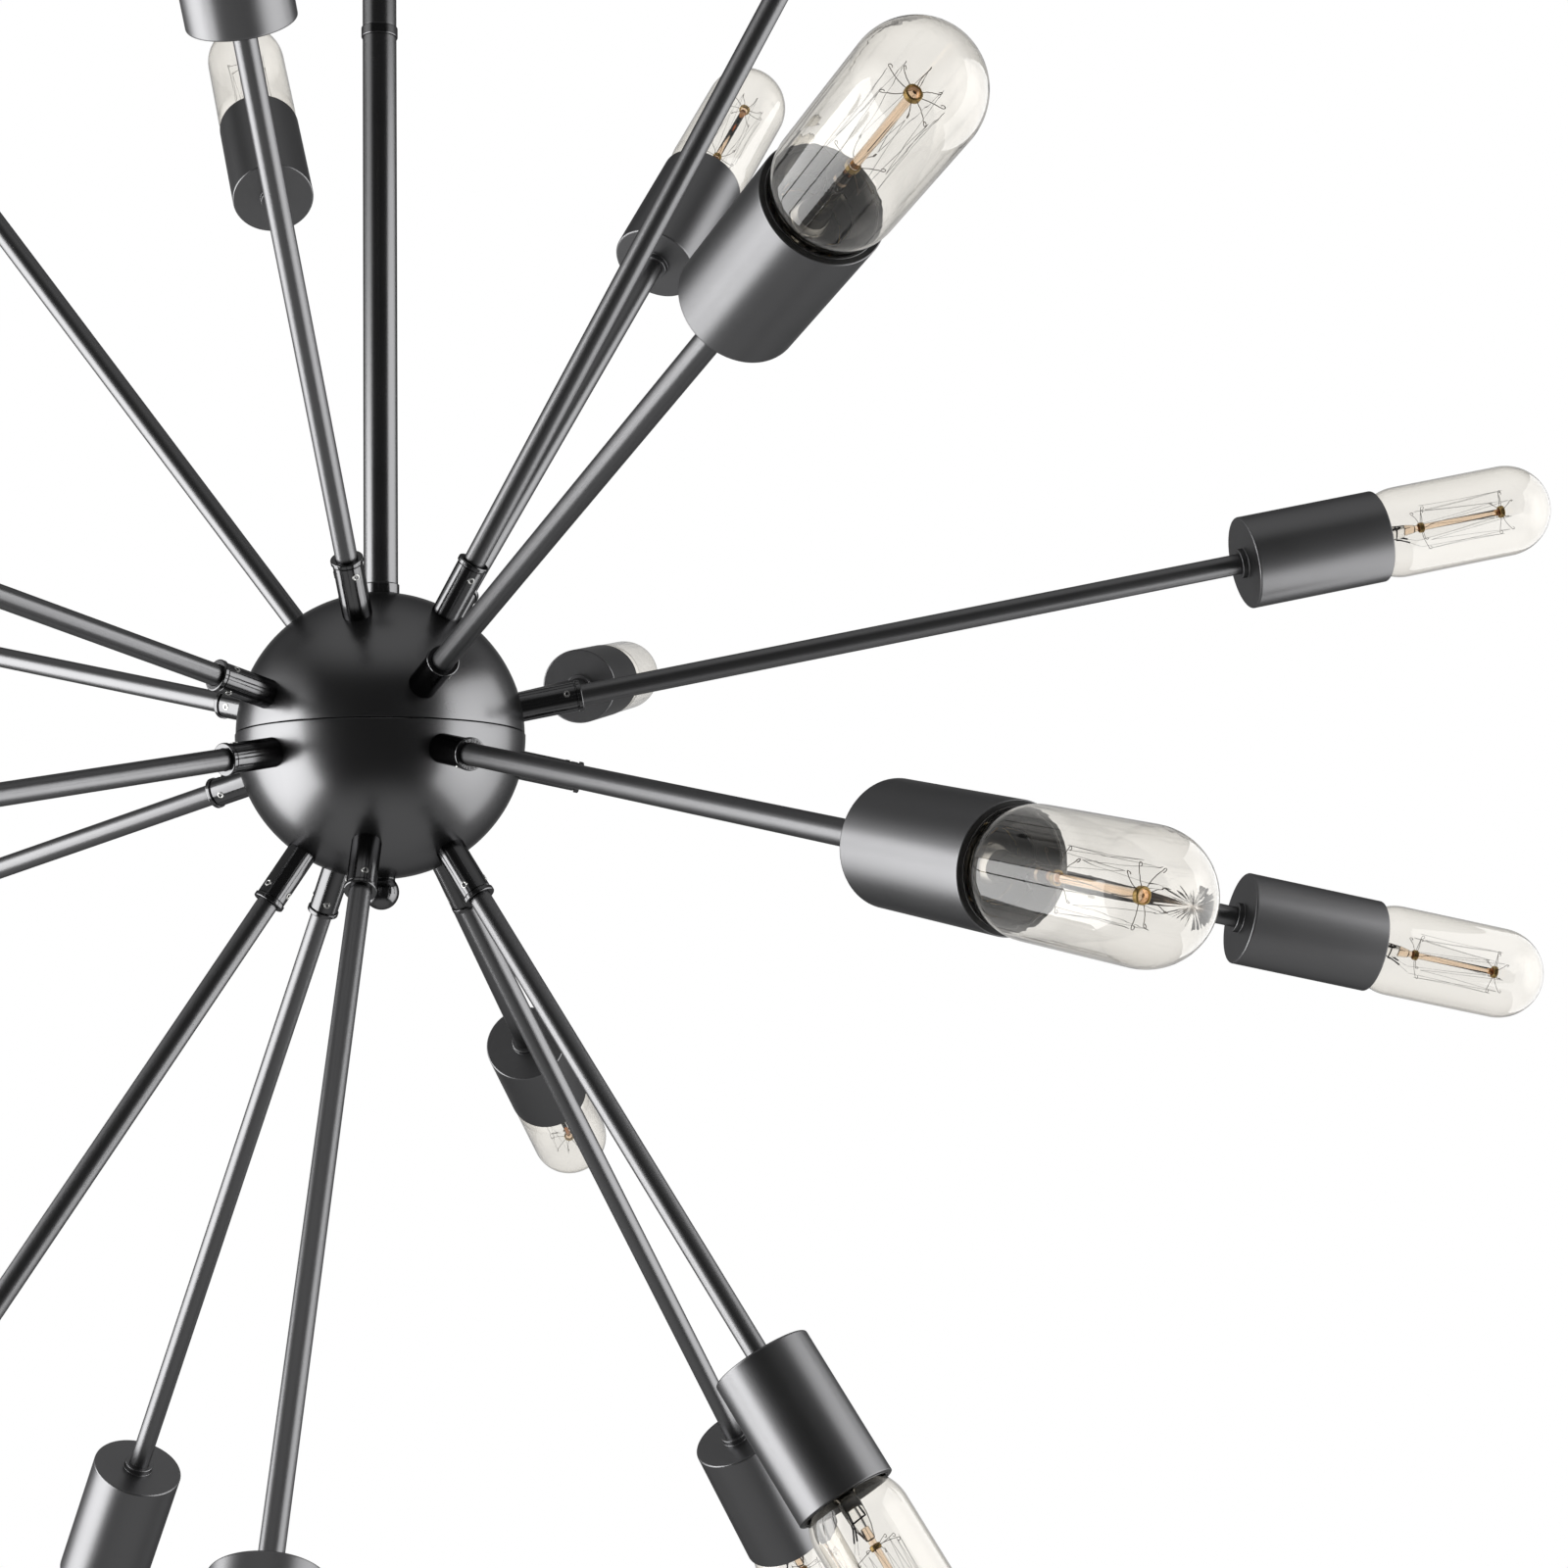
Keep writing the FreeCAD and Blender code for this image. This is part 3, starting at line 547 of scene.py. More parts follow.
# %% Coupling and neck ring
SPIGOT = 14.0
SPIGOT_R = 6.65
RING_BORE_R = 5.05
RING_FILLET = 0.45


def ring_outline(low, high, radius, up, down):
    """Ring between two tubes, with a spigot that enters the tube above and one below."""
    foot = [(RING_BORE_R, low - SPIGOT), (SPIGOT_R, low - SPIGOT, 0.4), (SPIGOT_R, low)]
    top = [(SPIGOT_R, high), (SPIGOT_R, high + SPIGOT, 0.4), (RING_BORE_R, high + SPIGOT)]
    return outline(
        *(foot if down else [(RING_BORE_R, low)]),
        (radius, low, RING_FILLET),
        (radius, high, RING_FILLET),
        *(top if up else [(RING_BORE_R, high)]),
        closed=True,
    )


low, high, radius = node_sizes("rod_coupling")
COUPLING = ring_outline(low + SPIGOT, high - SPIGOT, radius, True, True)
turned_piece("rod_coupling_ring", COUPLING, GLOSS, "rod_coupling")
low, high, radius = node_sizes("neck_ring")
turned_piece(
    "neck_ring_turned", ring_outline(low, high - SPIGOT, radius, True, False), GLOSS, "neck_ring",
)
print("rings", round(radius, 2), "mm radius")

# %% [markdown]
# ## The globe
# Two spun half shells meet at the equator. The lower one is slightly larger and stands a little
# proud, so the seam shows as a thin line with a tiny step. The shells are drawn as arcs in the
# outline, with a rolled edge at the seam.

# %% Globe halves
SHELL_WALL = 1.6
SHELL_STEP = 0.4
SEAM_GAP = 0.4
SEAM_ROUND = 0.35
SHELL_STEPS = 40


def half_shell(radius, pole_r, top):
    """Outline of a half shell: the outer arc from the pole's flat to the seam, a rolled edge, and
    the inner arc back. The lower half is the upper one's mirror image."""
    inner = radius - SHELL_WALL
    seam = SEAM_GAP / 2
    rim = math.degrees(math.asin((seam + SEAM_ROUND) / (radius - SEAM_ROUND)))
    pole = math.degrees(math.acos(pole_r / radius))
    lip = arc((radius - SEAM_ROUND, seam + SEAM_ROUND), SEAM_ROUND, -90, rim, 5)
    outer = arc((0, 0), radius, rim, pole, SHELL_STEPS)[1:]
    inside = arc((0, 0), inner, math.degrees(math.acos(RING_BORE_R / inner)), 2.0, SHELL_STEPS)
    points = np.vstack([lip, outer, [(RING_BORE_R, outer[-1, 1])], inside, [(inner, seam)]])
    if not top:
        points = points[::-1] * (1, -1)
    points = np.vstack([points, points[:1]])
    return points + (0, GLOBE_Z / MM)


FINIAL_NECK_R = 6.3
turned_piece("globe_upper_shell", half_shell(GLOBE_R, NECK_R / MM, True), SATIN, "globe_upper",
             sides=160)
turned_piece("globe_lower_shell", half_shell(GLOBE_R + SHELL_STEP, FINIAL_NECK_R, False), SATIN,
             "globe_lower", sides=160)

# %% [markdown]
# ## The ball under the globe
# A ball nut closes the threaded rod that clamps the globe. It is an arc from its neck to the
# lowest point, with a short waist above.

# %% Finial
low, high, _ = node_sizes("bottom_finial")
FINIAL_R = 8.1
FINIAL_NECK = 1.4
ball_z = low + FINIAL_R
start = math.degrees(math.asin((high - FINIAL_NECK - ball_z) / FINIAL_R))
ball = arc((0, ball_z), FINIAL_R, -90, start, 28)
FINIAL = outline(ball, (FINIAL_NECK_R, high - FINIAL_NECK), (FINIAL_NECK_R, high), (0, high))
turned_piece("finial_ball", FINIAL, GLOSS, "bottom_finial")
print("finial ball centre", round(ball_z, 2))

# %% [markdown]
# ## One arm, drawn along +Z
# Each arm is a sleeve in the globe's wall, a tube and a deep cup. They are drawn once for each
# reach along +Z. One turn about Y leans a piece from upright to its elevation and one about Z
# brings it to its azimuth.

# %% Collar, tube and cup
def collar():
    """Sleeve with a raised lip round its outer end."""
    low, high = GLOBE_R - COLLAR_IN, GLOBE_R + COLLAR_OUT
    lip = high - COLLAR_LIP
    return turned(outline(
        (SLEEVE_BORE_R, low), (COLLAR_R, low), (COLLAR_R, lip - 0.7), (COLLAR_R - 0.3, lip - 0.4),
        (COLLAR_R - 0.3, lip), (COLLAR_LIP_R, lip, 0.3), (COLLAR_LIP_R, high, 0.55),
        (SLEEVE_BORE_R, high, 0.2), closed=True,
    ), 48)


def arm_tube(reach):
    """Tube from inside the globe to the floor of the cup."""
    low, high = GLOBE_R - COLLAR_IN, reach + CUP_BASE
    return turned(outline(
        (TUBE_BORE_R, low), (TUBE_R, low), (TUBE_R, high), (TUBE_BORE_R, high), closed=True
    ), 40)


def lamp_cup(reach):
    """Deep cup: a short neck round the tube, a rounded base edge, a thick wall and a flat rim."""
    rim = reach + CUP_LENGTH
    inner = CUP_R - CUP_WALL
    floor = reach + CUP_BASE
    return turned(outline(
        (SLEEVE_BORE_R, reach - CUP_NECK), (CUP_NECK_R, reach - CUP_NECK, 0.4),
        (CUP_NECK_R, reach, 0.3), (CUP_R, reach, CUP_EDGE), (CUP_R, rim, 0.35),
        (inner, rim, 0.35), (inner, floor), (SLEEVE_BORE_R, floor), closed=True,
    ), 96)


def aim(azimuth, elevation):
    """The turn that takes +Z to an arm's direction."""
    lean = Matrix.Rotation(math.radians(90 - elevation), 3, "Y")
    return np.array(Matrix.Rotation(math.radians(azimuth), 3, "Z") @ lean)


def on_arms(arms, shape_at, roll=0.0):
    """The shape on each arm of a ring. Roll spins each next one further about its own arm."""
    centre = (0, 0, GLOBE_Z / MM)
    made = []
    for k, (azimuth, elevation, reach, _) in enumerate(arms):
        made.append(moved(shape_at(reach), aim(azimuth, elevation) @ spun(roll * (k + 1)), centre))
    return gather(made)


def held(arms):
    """The arms of a ring that have a collar."""
    return [arm for arm in arms if arm != BARE_ARM]


for ring, arms in RINGS.items():
    made = [
        piece("collars_" + ring, on_arms(held(arms), lambda _: collar()), GLOSS,
              stands_for=[ring + "_collars"]),
        piece("tubes_" + ring, on_arms(arms, arm_tube), SOFT,
              stands_for=[ring + "_arm_tubes"]),
        piece("cups_" + ring, on_arms(arms, lamp_cup), SOFT,
              stands_for=[ring + "_lamp_cups"]),
    ]
    print(ring, [(m.name, tris(m)) for m in made])

# %% [markdown]
# ## The mouth of a cup
# Each cup gets a thin near-black matt sheet that covers its flat rim and goes down its bore, and
# which paints shade into the bore. A fine bead runs round where the sheet turns down, and shows as
# one thin bright ring in the dark.

# %% Painted-shade sheets and beads
SHADE_SHEET_THICK = 0.15
SHADE_SHEET_DEPTH = 30.0
SHADE_SHEET_EDGE_R = 22.1
BEAD_FROM_BORE = 0.75
BEAD_WIRE_R = 0.22


# The sheet paints shade down the cup's bore and makes the flat rim near-black.
def mouth_shade_sheet(reach):
    """Thin sleeve with a flat collar on the rim: an L-shaped outline, turned."""
    rim, bore = reach + CUP_LENGTH, CUP_R - CUP_WALL
    top = rim + SHADE_SHEET_THICK
    return turned(outline(
        (bore - SHADE_SHEET_THICK, rim - SHADE_SHEET_DEPTH), (bore, rim - SHADE_SHEET_DEPTH), (bore, rim),
        (SHADE_SHEET_EDGE_R, rim), (SHADE_SHEET_EDGE_R, top, 0.05), (bore - SHADE_SHEET_THICK, top, 0.25), closed=True,
    ), 96)


def mouth_bead(reach):
    """Fine ring: a small circle carried round the arm."""
    centre = (CUP_R - CUP_WALL + BEAD_FROM_BORE, reach + CUP_LENGTH + SHADE_SHEET_THICK)
    return turned(arc(centre, BEAD_WIRE_R, -90, 270, 10), 96)


for ring, arms in RINGS.items():
    piece("mouth_shade_sheets_" + ring, on_arms(arms, mouth_shade_sheet), MOUTH_BLACK)
    made = piece("mouth_beads_" + ring, on_arms(arms, mouth_bead), GLOSS)
    print(made.name, tris(made), "triangles")

# %% [markdown]
# ## Set screws
# Two small screws in each collar, a quarter turn apart, clamp the tube. Each shows as a bright
# bevelled ring with a six-sided hole. Round the hole the radius follows the hexagon: the distance
# from the middle to a flat, divided by the cosine of the angle from that flat's middle.

# %% Set screws
SCREW_R = 1.65
SCREW_HEX = 0.75
SCREW_DEPTH = 1.1
SCREW_BELOW_LIP = 5.0
SCREW_PROUD = 0.25
SCREWS_APART = 110


def set_screw():
    """Screw head along +Z with its face at height 0: a turned rim, and a hexagonal recess."""
    sides = 36
    t = np.linspace(0, 2 * math.pi, sides + 1)
    hexagon = SCREW_HEX / np.cos((t + math.pi / 6) % (math.pi / 3) - math.pi / 6)
    rows = [
        (0 * t, -3.0), (0 * t + SCREW_R, -3.0), (0 * t + SCREW_R, -0.35),
        (0 * t + SCREW_R - 0.12, -0.08), (0 * t + SCREW_R - 0.35, 0.0), (hexagon + 0.2, 0.0),
        (hexagon, -0.15), (hexagon, -SCREW_DEPTH), (0 * t, -SCREW_DEPTH - 0.3),
    ]
    points = np.stack([np.stack([r * np.cos(t), r * np.sin(t), 0 * t + h], -1) for r, h in rows])
    along = np.linspace(0, 1, len(rows))
    return grid_surface(points, t * SCREW_R, along)


def collar_screws(first):
    """Both screws of a collar, square to it, with the first at its own angle round the arm."""
    height = GLOBE_R + COLLAR_OUT - COLLAR_LIP - SCREW_BELOW_LIP
    lay = np.array(Matrix.Rotation(math.pi / 2, 3, "Y"))
    out = moved(set_screw(), lay, (COLLAR_R + SCREW_PROUD, 0, height))
    return gather([moved(out, spun(math.radians(first + turn))) for turn in (0, SCREWS_APART)])


def screws_on(arms):
    """The screws of all collars of a ring."""
    centre = (0, 0, GLOBE_Z / MM)
    return gather([moved(collar_screws(first), aim(azimuth, elevation), centre)
                   for azimuth, elevation, _, first in held(arms)])


for ring, arms in RINGS.items():
    made = piece("set_screws_" + ring, screws_on(arms), ZINC)
    print(made.name, tris(made), "triangles")

# %% [markdown]
# ## The bulbs' glass
# The bulb is a straight neck, a rounded shoulder, a straight body and a half sphere. The inner
# face follows the same line one wall further in.

# %% Bulb glass
def bulb_line(reach, inset):
    """Outline of the glass from the foot of its neck to its tip, moved inwards by an inset."""
    radius, neck, bend = BULB_R - inset, BULB_NECK_R - inset, BULB_SHOULDER_R - inset
    rim = reach + CUP_LENGTH
    centre = BULB_R - BULB_SHOULDER_R
    turn = math.degrees(math.acos((neck - centre) / bend))
    shoulder = arc((centre, rim + BULB_SHOULDER), bend, -turn, 0, 14)
    dome = arc((0, rim + BULB_SHOWS - BULB_R), radius, 0, 90, 20)
    return np.vstack([[(neck, rim + BULB_NECK_FOOT)], shoulder, dome])


def bulb_glass(reach):
    """Thin closed shell of glass."""
    outer, inner = bulb_line(reach, 0.0), bulb_line(reach, BULB_WALL)
    return turned(np.vstack([outer, inner[::-1], outer[:1]]), 72)


for ring, arms in RINGS.items():
    made = piece("glass_" + ring, on_arms(arms, bulb_glass), BULB_GLASS,
                 stands_for=[ring + "_bulbs"])
    print(made.name, tris(made), "triangles")

# %% [markdown]
# ## The stem inside a bulb
# A flared glass stem is melted to the neck and pressed flat round the lead wires. It narrows to a
# glass rod that goes on to near the tip. A brass button at each end of the rod holds a fan of
# hooks, and the melted end of the rod shows orange inside the outer button.

# %% Stem, rod and buttons, in millimetres beyond the cup's rim
STEM_R = 11.0
STEM_END = 20.0
ROD_R = 1.6
ROD_START = 14.0
LOW_BUTTON = 23.0
HIGH_BUTTON = 65.0
LOW_BUTTON_R = 2.5
HIGH_BUTTON_R = 3.0
BUTTON_HALF = 1.1
CEMENT_R = 12.5
CEMENT_THICK = 0.35


def stem_press(reach):
    """Flared foot that turns into a flat press: the section is an ellipse whose two half widths
    change with height."""
    rim = reach + CUP_LENGTH
    height = np.array([-13.5, -12.6, -10.0, -7.0, -3.0, 2.0, 9.0, 14.0, 17.0, 19.5, STEM_END])
    wide = np.array([STEM_R, 9.6, 7.2, 6.0, 5.2, 4.8, 4.6, 3.8, 2.8, 2.0, 0.0])
    flat = np.array([STEM_R, 9.6, 7.0, 5.6, 4.4, 3.4, 2.8, 2.5, 2.1, 1.8, 0.0])
    fine = np.linspace(height[0], height[-1], 48)
    wide, flat = np.interp(fine, height, wide), np.interp(fine, height, flat)
    t = np.linspace(0, 2 * math.pi, 33)
    points = np.stack([wide[:, None] * np.cos(t), flat[:, None] * np.sin(t),
                       rim + fine[:, None] + 0 * t], -1)
    foot = points[:1].copy()
    foot[..., :2] = 0
    points = np.vstack([foot, points])
    return grid_surface(points, t, np.concatenate([[0], fine - fine[0]]))


def stem_rod(reach):
    """Straight glass rod whose outer end is melted to a small ball."""
    rim = reach + CUP_LENGTH
    end = arc((0, HIGH_BUTTON), ROD_R + 0.5, -40, 90, 8)
    return turned(np.vstack([[(0, ROD_START), (ROD_R, ROD_START)], end]) + (0, rim), 24)


def button(height, radius):
    """Turned ring round the rod with well rounded edges."""
    bore = ROD_R + 0.55
    low, high = height - BUTTON_HALF, height + BUTTON_HALF
    return turned(outline(
        (bore, low, 0.15), (radius, low, 0.4), (radius, high, 0.4), (bore, high, 0.15), closed=True
    ), 32)


def cement(reach):
    """Thin dark disc of cement that closes the neck above the screw cap."""
    foot = reach + CUP_LENGTH + BULB_NECK_FOOT
    top = foot + CEMENT_THICK
    return turned(outline((0, foot), (CEMENT_R, foot), (CEMENT_R, top, 0.1), (0, top)), 48)


def buttons(reach):
    """Both buttons of a rod."""
    rim = reach + CUP_LENGTH
    return gather([button(rim + LOW_BUTTON, LOW_BUTTON_R), button(rim + HIGH_BUTTON, HIGH_BUTTON_R)])


for ring, arms in RINGS.items():
    piece("stems_" + ring, on_arms(arms, stem_press, roll=1.1), STEM_GLASS,
          stands_for=[ring + "_bulb_stems"])
    piece("stem_rods_" + ring, on_arms(arms, stem_rod), AMBER_ROD)
    piece("cement_" + ring, on_arms(arms, cement), MOUTH_BLACK)
    made = piece("buttons_" + ring, on_arms(arms, buttons), BRASS)
    print(made.name, tris(made), "triangles")

# %% [markdown]
# ## The cage filament
# The filament runs up and down between two fans of hooks, so it looks like a cage of straight
# threads. Each hook is a thin wire that stands out of a button and curls at its end. The filament
# starts and ends on two thicker lead wires that leave the press and step outwards.

# %% Hooks, leads and filament
HOOK_R = 0.13
LEAD_R = 0.38
THREAD_R = 0.07
CAGE_R = 10.5
HIGH_HOOKS = 8
CAGE_TURN = math.radians(335)
CURL_R = 0.7
HOOK_RISE = 1.6
HOOK_BOW = 0.5
HOOK_STAGGER = 0.5
THREAD_SAG = 0.35


def hook(angle, height, rise, out):
    """Wire from a button out to the cage. It rises on the way, bows a little and ends in a
    three-quarter curl."""
    s = np.linspace(0, 1, 8)
    start = LOW_BUTTON_R - 0.4
    line = np.stack([start + (out - start) * s, HOOK_BOW * np.sin(math.pi * s), height + rise * s**1.5], 1)
    t = np.radians(np.linspace(-90, 170, 9))[1:]
    end = line[-1]
    curl = np.stack([end[0] + CURL_R * np.cos(t), 0 * t, end[2] + CURL_R * (1 + np.sin(t))], 1)
    return wire(np.vstack([line, curl]) @ spun(angle).T, HOOK_R, 6)


def fan(count, start, height, rise):
    """Hooks in steps of two threads round the cage. Every second one rises the other way."""
    angles = start + 2 * np.arange(count) * CAGE_TURN / (2 * HIGH_HOOKS)
    reach = [CAGE_R - HOOK_STAGGER * (k % 3) for k in range(count)]
    return [hook(a, height, rise * (-1) ** k, reach[k]) for k, a in enumerate(angles)]


def lead(side, rim):
    """Lead wire: out of the press, a step outwards and then along to where the filament starts."""
    angle = 0.0 if side < 0 else CAGE_TURN
    along, across = np.array([math.cos(angle), math.sin(angle)]), side * 2.4
    corners = np.array([
        [across, 0, 5.0], [across * 1.2, 0, 9.5], [*(4.2 * along), 10.5], [*(4.6 * along), 12.5],
        [*(7.2 * along), 17.5],
    ])
    fine = np.linspace(0, len(corners) - 1, 33)
    smooth = np.stack([np.interp(fine, np.arange(len(corners)), corners[:, k]) for k in range(3)], 1)
    tail = np.array([[*(7.2 * along), 17.6], [*(CAGE_R * along), LOW_BUTTON]])
    return [wire(smooth + (0, 0, rim), LEAD_R, 8), wire(tail + (0, 0, rim), THREAD_R, 5)]


def cage_hooks(reach):
    """The hooks of both fans of a bulb."""
    rim = reach + CUP_LENGTH
    step = CAGE_TURN / (2 * HIGH_HOOKS)
    return gather(fan(HIGH_HOOKS, step, rim + HIGH_BUTTON, HOOK_RISE)
                  + fan(HIGH_HOOKS - 1, 2 * step, rim + LOW_BUTTON, HOOK_RISE))


def leads(reach):
    """Both lead wires of a bulb."""
    rim = reach + CUP_LENGTH
    return gather(lead(-1, rim) + lead(1, rim))


def filament(reach):
    """One thread that zigzags between the fans: its angle grows evenly, and its height jumps
    between the low and the high fan at each hook."""
    rim = reach + CUP_LENGTH
    count = 2 * HIGH_HOOKS
    angle = np.linspace(0, CAGE_TURN, count + 1)
    high = np.arange(count + 1) % 2 == 1
    height = np.where(high, HIGH_BUTTON + CURL_R, LOW_BUTTON + CURL_R)
    radius = CAGE_R + CURL_R * 0.6
    corners = np.stack([radius * np.cos(angle), radius * np.sin(angle), rim + height], 1)
    threads = []
    for a, b in zip(corners[:-1], corners[1:]):
        s = np.linspace(0, 1, 12)[:, None]
        outwards = np.array([[a[0] + b[0], a[1] + b[1], 0]]) / (2 * radius)
        sag = THREAD_SAG * np.sin(math.pi * s) * outwards
        threads.append(wire(a + (b - a) * s - sag, THREAD_R, 5))
    return gather(threads)


WIRES = {
    "hooks": (cage_hooks, HOOK_WIRE),
    "leads": (leads, LEAD_WIRE),
    "filaments": (filament, TUNGSTEN),
}
for ring, arms in RINGS.items():
    for name, (shape_at, finish) in WIRES.items():
        made = piece(name + "_" + ring, on_arms(arms, shape_at, roll=1.1), finish)
        print(made.name, tris(made), "triangles")

# %% [markdown]
# ## Canopy and hardware at the ceiling
# The canopy is a shallow pan with a rounded lower edge. Its hub and ring nut are turned, and the
# two cap nuts are small domes. The flat and six-sided hardware keeps the frame's own shape and
# only gets a finish.

# %% Canopy, hub and nuts
CANOPY_WALL = 1.2
CANOPY_ROUND = 5.0
HUB_R = 13.0
low, high, radius = node_sizes("canopy")
inner = radius - CANOPY_WALL
CANOPY = outline(
    (HUB_R + 0.05, low), (radius, low, CANOPY_ROUND), (radius, high, 0.3), (inner, high, 0.3),
    (inner, low + CANOPY_WALL, CANOPY_ROUND - CANOPY_WALL), (HUB_R + 0.05, low + CANOPY_WALL),
    closed=True,
)
turned_piece("canopy_pan", CANOPY, SATIN, "canopy", "ceiling_mount", 144)
floor_top = low + CANOPY_WALL
low, high, radius = node_sizes("canopy_hub")
HUB_BORE_R = 6.55
HUB = outline(
    (HUB_BORE_R, low), (HUB_R, low, 0.6), (HUB_R, floor_top), (radius, floor_top, 0.3),
    (radius, high, 0.5), (HUB_BORE_R, high), closed=True,
)
turned_piece("canopy_hub_bush", HUB, SATIN, "canopy_hub", "ceiling_mount", 72)
low, high, radius = node_sizes("hub_ring_nut")
RING_NUT = outline(
    (HUB_R + 0.05, low), (radius, low, 0.6), (radius, high, 0.3), (HUB_R + 0.05, high), closed=True
)
turned_piece("hub_ring_nut_turned", RING_NUT, GLOSS, "hub_ring_nut",
             "ceiling_mount", 72)

# %% Cap nuts
low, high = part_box("canopy_cap_nuts")
CAP_NUT_R = 5.0
STUD_X = high.x / MM - CAP_NUT_R
foot, top = low.z / MM, high.z / MM
dome = arc((0, foot + CAP_NUT_R), CAP_NUT_R, -90, 0, 12)
cap = turned(outline(dome, (CAP_NUT_R, top, 0.3), (0, top)), 40)
piece("cap_nuts", gather([moved(cap, shift=(side * STUD_X, 0, 0)) for side in (-1, 1)]), GLOSS,
      "ceiling_mount", ["canopy_cap_nuts"])
print("cap nuts at", round(STUD_X, 2))

# %% Finishes of the frame's own pieces
KEPT = {
    "crossbar": ZINC, "canopy_studs": ZINC, "swivel_fork": SATIN, "swivel_nut": ZINC,
    "swivel_pin": ZINC, "swivel_tongue": SATIN, "tie_rod": ZINC, "tie_nut": ZINC,
}
for ring in RINGS:
    KEPT[ring + "_sockets"] = MOULDING
    KEPT[ring + "_screw_caps"] = BRASS
for name, material in KEPT.items():
    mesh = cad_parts[name].data
    mesh.materials.clear()
    mesh.materials.append(material)
print("kept nodes", len(KEPT))

# %% [markdown]
# ## Floor, walls of light and room
# Dark metal needs something to mirror. A wide soft lamp on each side draws the two light bands on
# every tube and cup. The room behind the camera is dark, which makes the dark stripe between them
# and the dark square on the globe, and overhead and below it is dim. The backdrop is white for the
# camera and straight through the glass. What the metal or the glass mirrors is the room. The floor
# fades out at its edge, so no horizon line shows. The room could also be built as walls, but a
# world that depends on direction is smooth, quick and never in the way of another view.

# %% Floor
FLOOR_Z = -2.4
FLOOR_R = 2.4
FLOOR_FADE = 0.35
FLOOR_CLEAR = 0.98
PALE = (0.86, 0.86, 0.855)


def floor_finish():
    """Pale floor that turns clear towards its edge, has no underside and leaves what metal and
    glass mirror to the room."""
    material, tree = new_tree("pale_floor")
    out = node(tree, "ShaderNodeOutputMaterial")
    pale = node(tree, "ShaderNodeBsdfPrincipled", Roughness=0.7)
    pale.inputs["Base Color"].default_value = (*PALE, 1)
    clear = node(tree, "ShaderNodeBsdfTransparent")
    place = node(tree, "ShaderNodeTexCoord")
    flat = node(tree, "ShaderNodeVectorMath", {"operation": "MULTIPLY"})
    flat.inputs[1].default_value = (1, 1, 0)
    join(tree, place.outputs["Object"], flat.inputs[0])
    far = node(tree, "ShaderNodeVectorMath", {"operation": "LENGTH"})
    join(tree, flat.outputs["Vector"], far.inputs[0])
    edge = fade(tree, far.outputs["Value"], FLOOR_FADE * FLOOR_R, FLOOR_CLEAR * FLOOR_R)
    under = node(tree, "ShaderNodeNewGeometry").outputs["Backfacing"]
    mirrored = node(tree, "ShaderNodeLightPath").outputs["Glossy Depth"]
    unseen = math_node(tree, "MAXIMUM", edge, math_node(tree, "MAXIMUM", mirrored, under))
    mix = node(tree, "ShaderNodeMixShader")
    join(tree, unseen, mix.inputs["Fac"])
    join(tree, pale.outputs["BSDF"], mix.inputs[1])
    join(tree, clear.outputs["BSDF"], mix.inputs[2])
    join(tree, mix.outputs["Shader"], out.inputs["Surface"])
    return material


def add_floor():
    """Round floor: points (r cos t, r sin t) for r from 0 to the floor's radius."""
    points = outline((FLOOR_R / MM, FLOOR_Z / MM), (0, FLOOR_Z / MM))
    surface = turned(points, 96)
    mesh = bpy.data.meshes.new("floor")
    mesh.from_pydata((surface[0] * MM).tolist(), [], surface[1].tolist())
    mesh.materials.append(floor_finish())
    floor = bpy.data.objects.new("floor", mesh)
    bpy.context.scene.collection.objects.link(floor)
    return floor


add_floor()

# %% Lamps
def softbox(name, azimuth, elevation, away, width, height, glow):
    """Flat lamp that faces the globe from an azimuth, counted from the camera's side towards +X,
    an elevation and a distance. Glow is how bright its face is. A lamp of this shape shines with
    its power divided by four times its area, so the power follows from the glow."""
    data = bpy.data.lights.new(name, "AREA")
    data.shape = "RECTANGLE"
    data.size, data.size_y = width, height
    data.energy = 4 * width * height * glow
    lamp = bpy.data.objects.new(name, data)
    bpy.context.scene.collection.objects.link(lamp)
    a, e = math.radians(azimuth), math.radians(elevation)
    out = Vector((math.sin(a) * math.cos(e), -math.cos(a) * math.cos(e), math.sin(e)))
    lamp.location = Vector((0, 0, GLOBE_Z)) + out * away
    lamp.rotation_euler = (-out).to_track_quat("-Z", "Y").to_euler()
    lamp.visible_camera = False
    lamp.visible_transmission = False
    return lamp


softbox("softbox_left", -84, -12, 1.3, 1.5, 1.6, 2.6)
softbox("softbox_right", 94, -6, 1.0, 1.35, 1.6, 1.5)

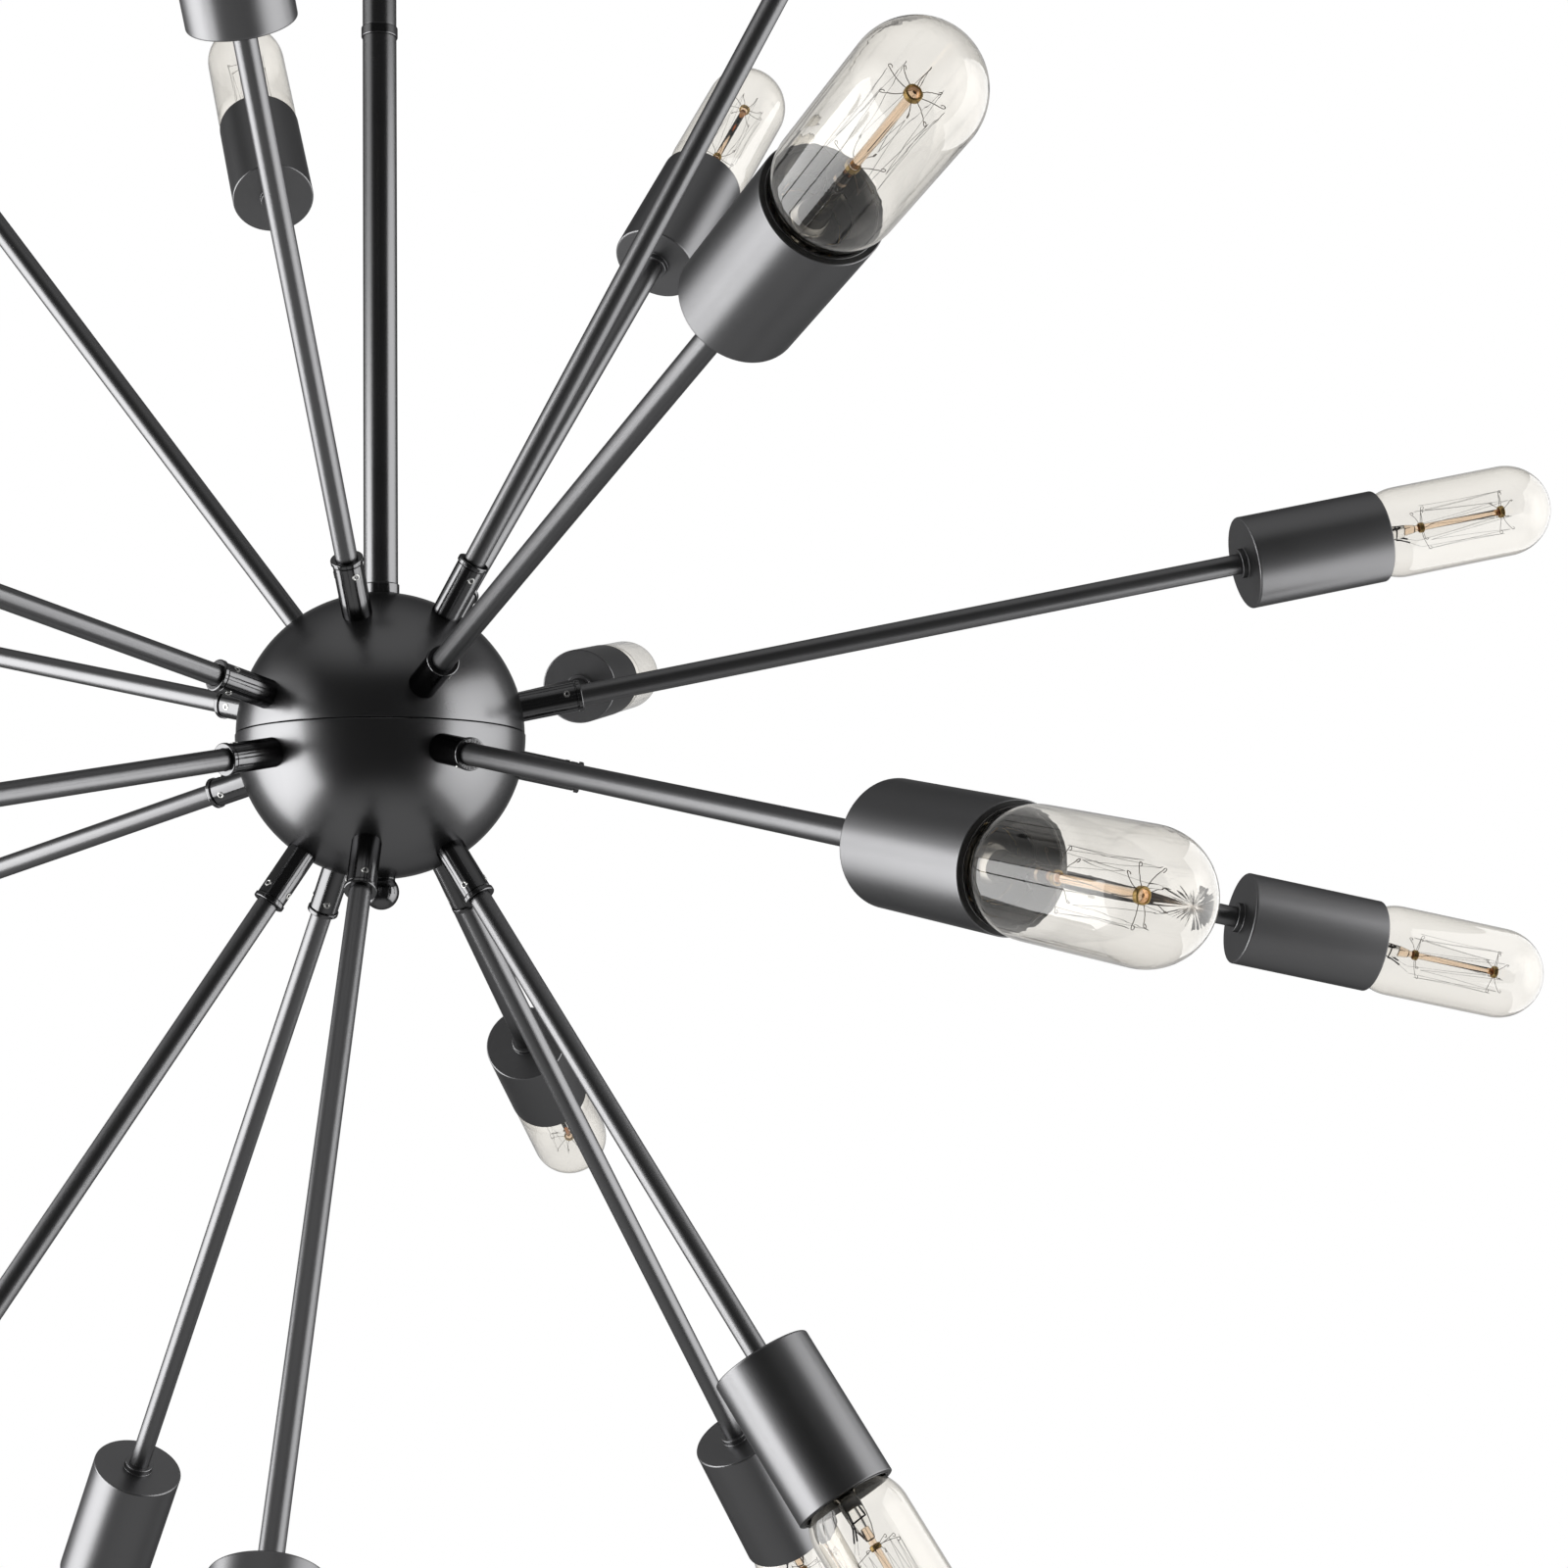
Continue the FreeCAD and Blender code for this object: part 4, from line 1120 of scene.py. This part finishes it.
# %% Room seen in the mirror of metal and glass
WHITE = 1.0
ROOM_FRONT = 0.03
ROOM_LEFT = 1.3
ROOM_RIGHT = 0.8
ROOM_BEHIND = 0.5
ROOM_DIM = 0.36
AMBIENT = 0.75


def room_level(tree):
    """Brightness of the room by direction. Each side is bright and fades upwards, in front it is
    dark, behind it is half bright, and far above and below it is dim."""
    place = node(tree, "ShaderNodeTexCoord")
    axes = node(tree, "ShaderNodeSeparateXYZ")
    join(tree, place.outputs["Generated"], axes.inputs["Vector"])
    x, y, z = (axes.outputs[name] for name in "XYZ")
    left = math_node(tree, "MULTIPLY", fade(tree, x, -0.60, -0.92), ROOM_LEFT)
    right = math_node(tree, "MULTIPLY", fade(tree, x, 0.72, 0.97), ROOM_RIGHT)
    sides = math_node(tree, "MULTIPLY", math_node(tree, "MAXIMUM", left, right), fade(tree, z, 0.9, 0.1))
    around = math_node(tree, "MAXIMUM", sides, ROOM_FRONT)
    level = pick(tree, fade(tree, y, 0.15, 0.8), around, ROOM_BEHIND)
    return pick(tree, fade(tree, math_node(tree, "ABSOLUTE", z, 0.0), 0.58, 0.92), level, ROOM_DIM)


def add_world():
    """White for the camera and straight through glass. A ray that metal or glass has mirrored
    sees the room, also where it then leaves the glass, which its glossy depth tells."""
    world = bpy.data.worlds.new("studio")
    bpy.context.scene.world = world
    world.use_nodes = True
    tree = world.node_tree
    tree.nodes.clear()
    out = node(tree, "ShaderNodeOutputWorld")
    sky = node(tree, "ShaderNodeBackground", Strength=1.0)
    path = node(tree, "ShaderNodeLightPath")
    mirrored = math_node(tree, "GREATER_THAN", path.outputs["Glossy Depth"], 0.5)
    seen = math_node(tree, "MAXIMUM", path.outputs["Is Camera Ray"], path.outputs["Is Transmission Ray"])
    seen = math_node(tree, "MAXIMUM", seen, path.outputs["Is Glossy Ray"])
    level = pick(tree, seen, AMBIENT, WHITE)
    level = pick(tree, mirrored, level, room_level(tree))
    join(tree, level, sky.inputs["Color"])
    join(tree, sky.outputs["Background"], out.inputs["Surface"])
    return world


add_world()
bpy.context.scene.view_settings.view_transform = "Standard"
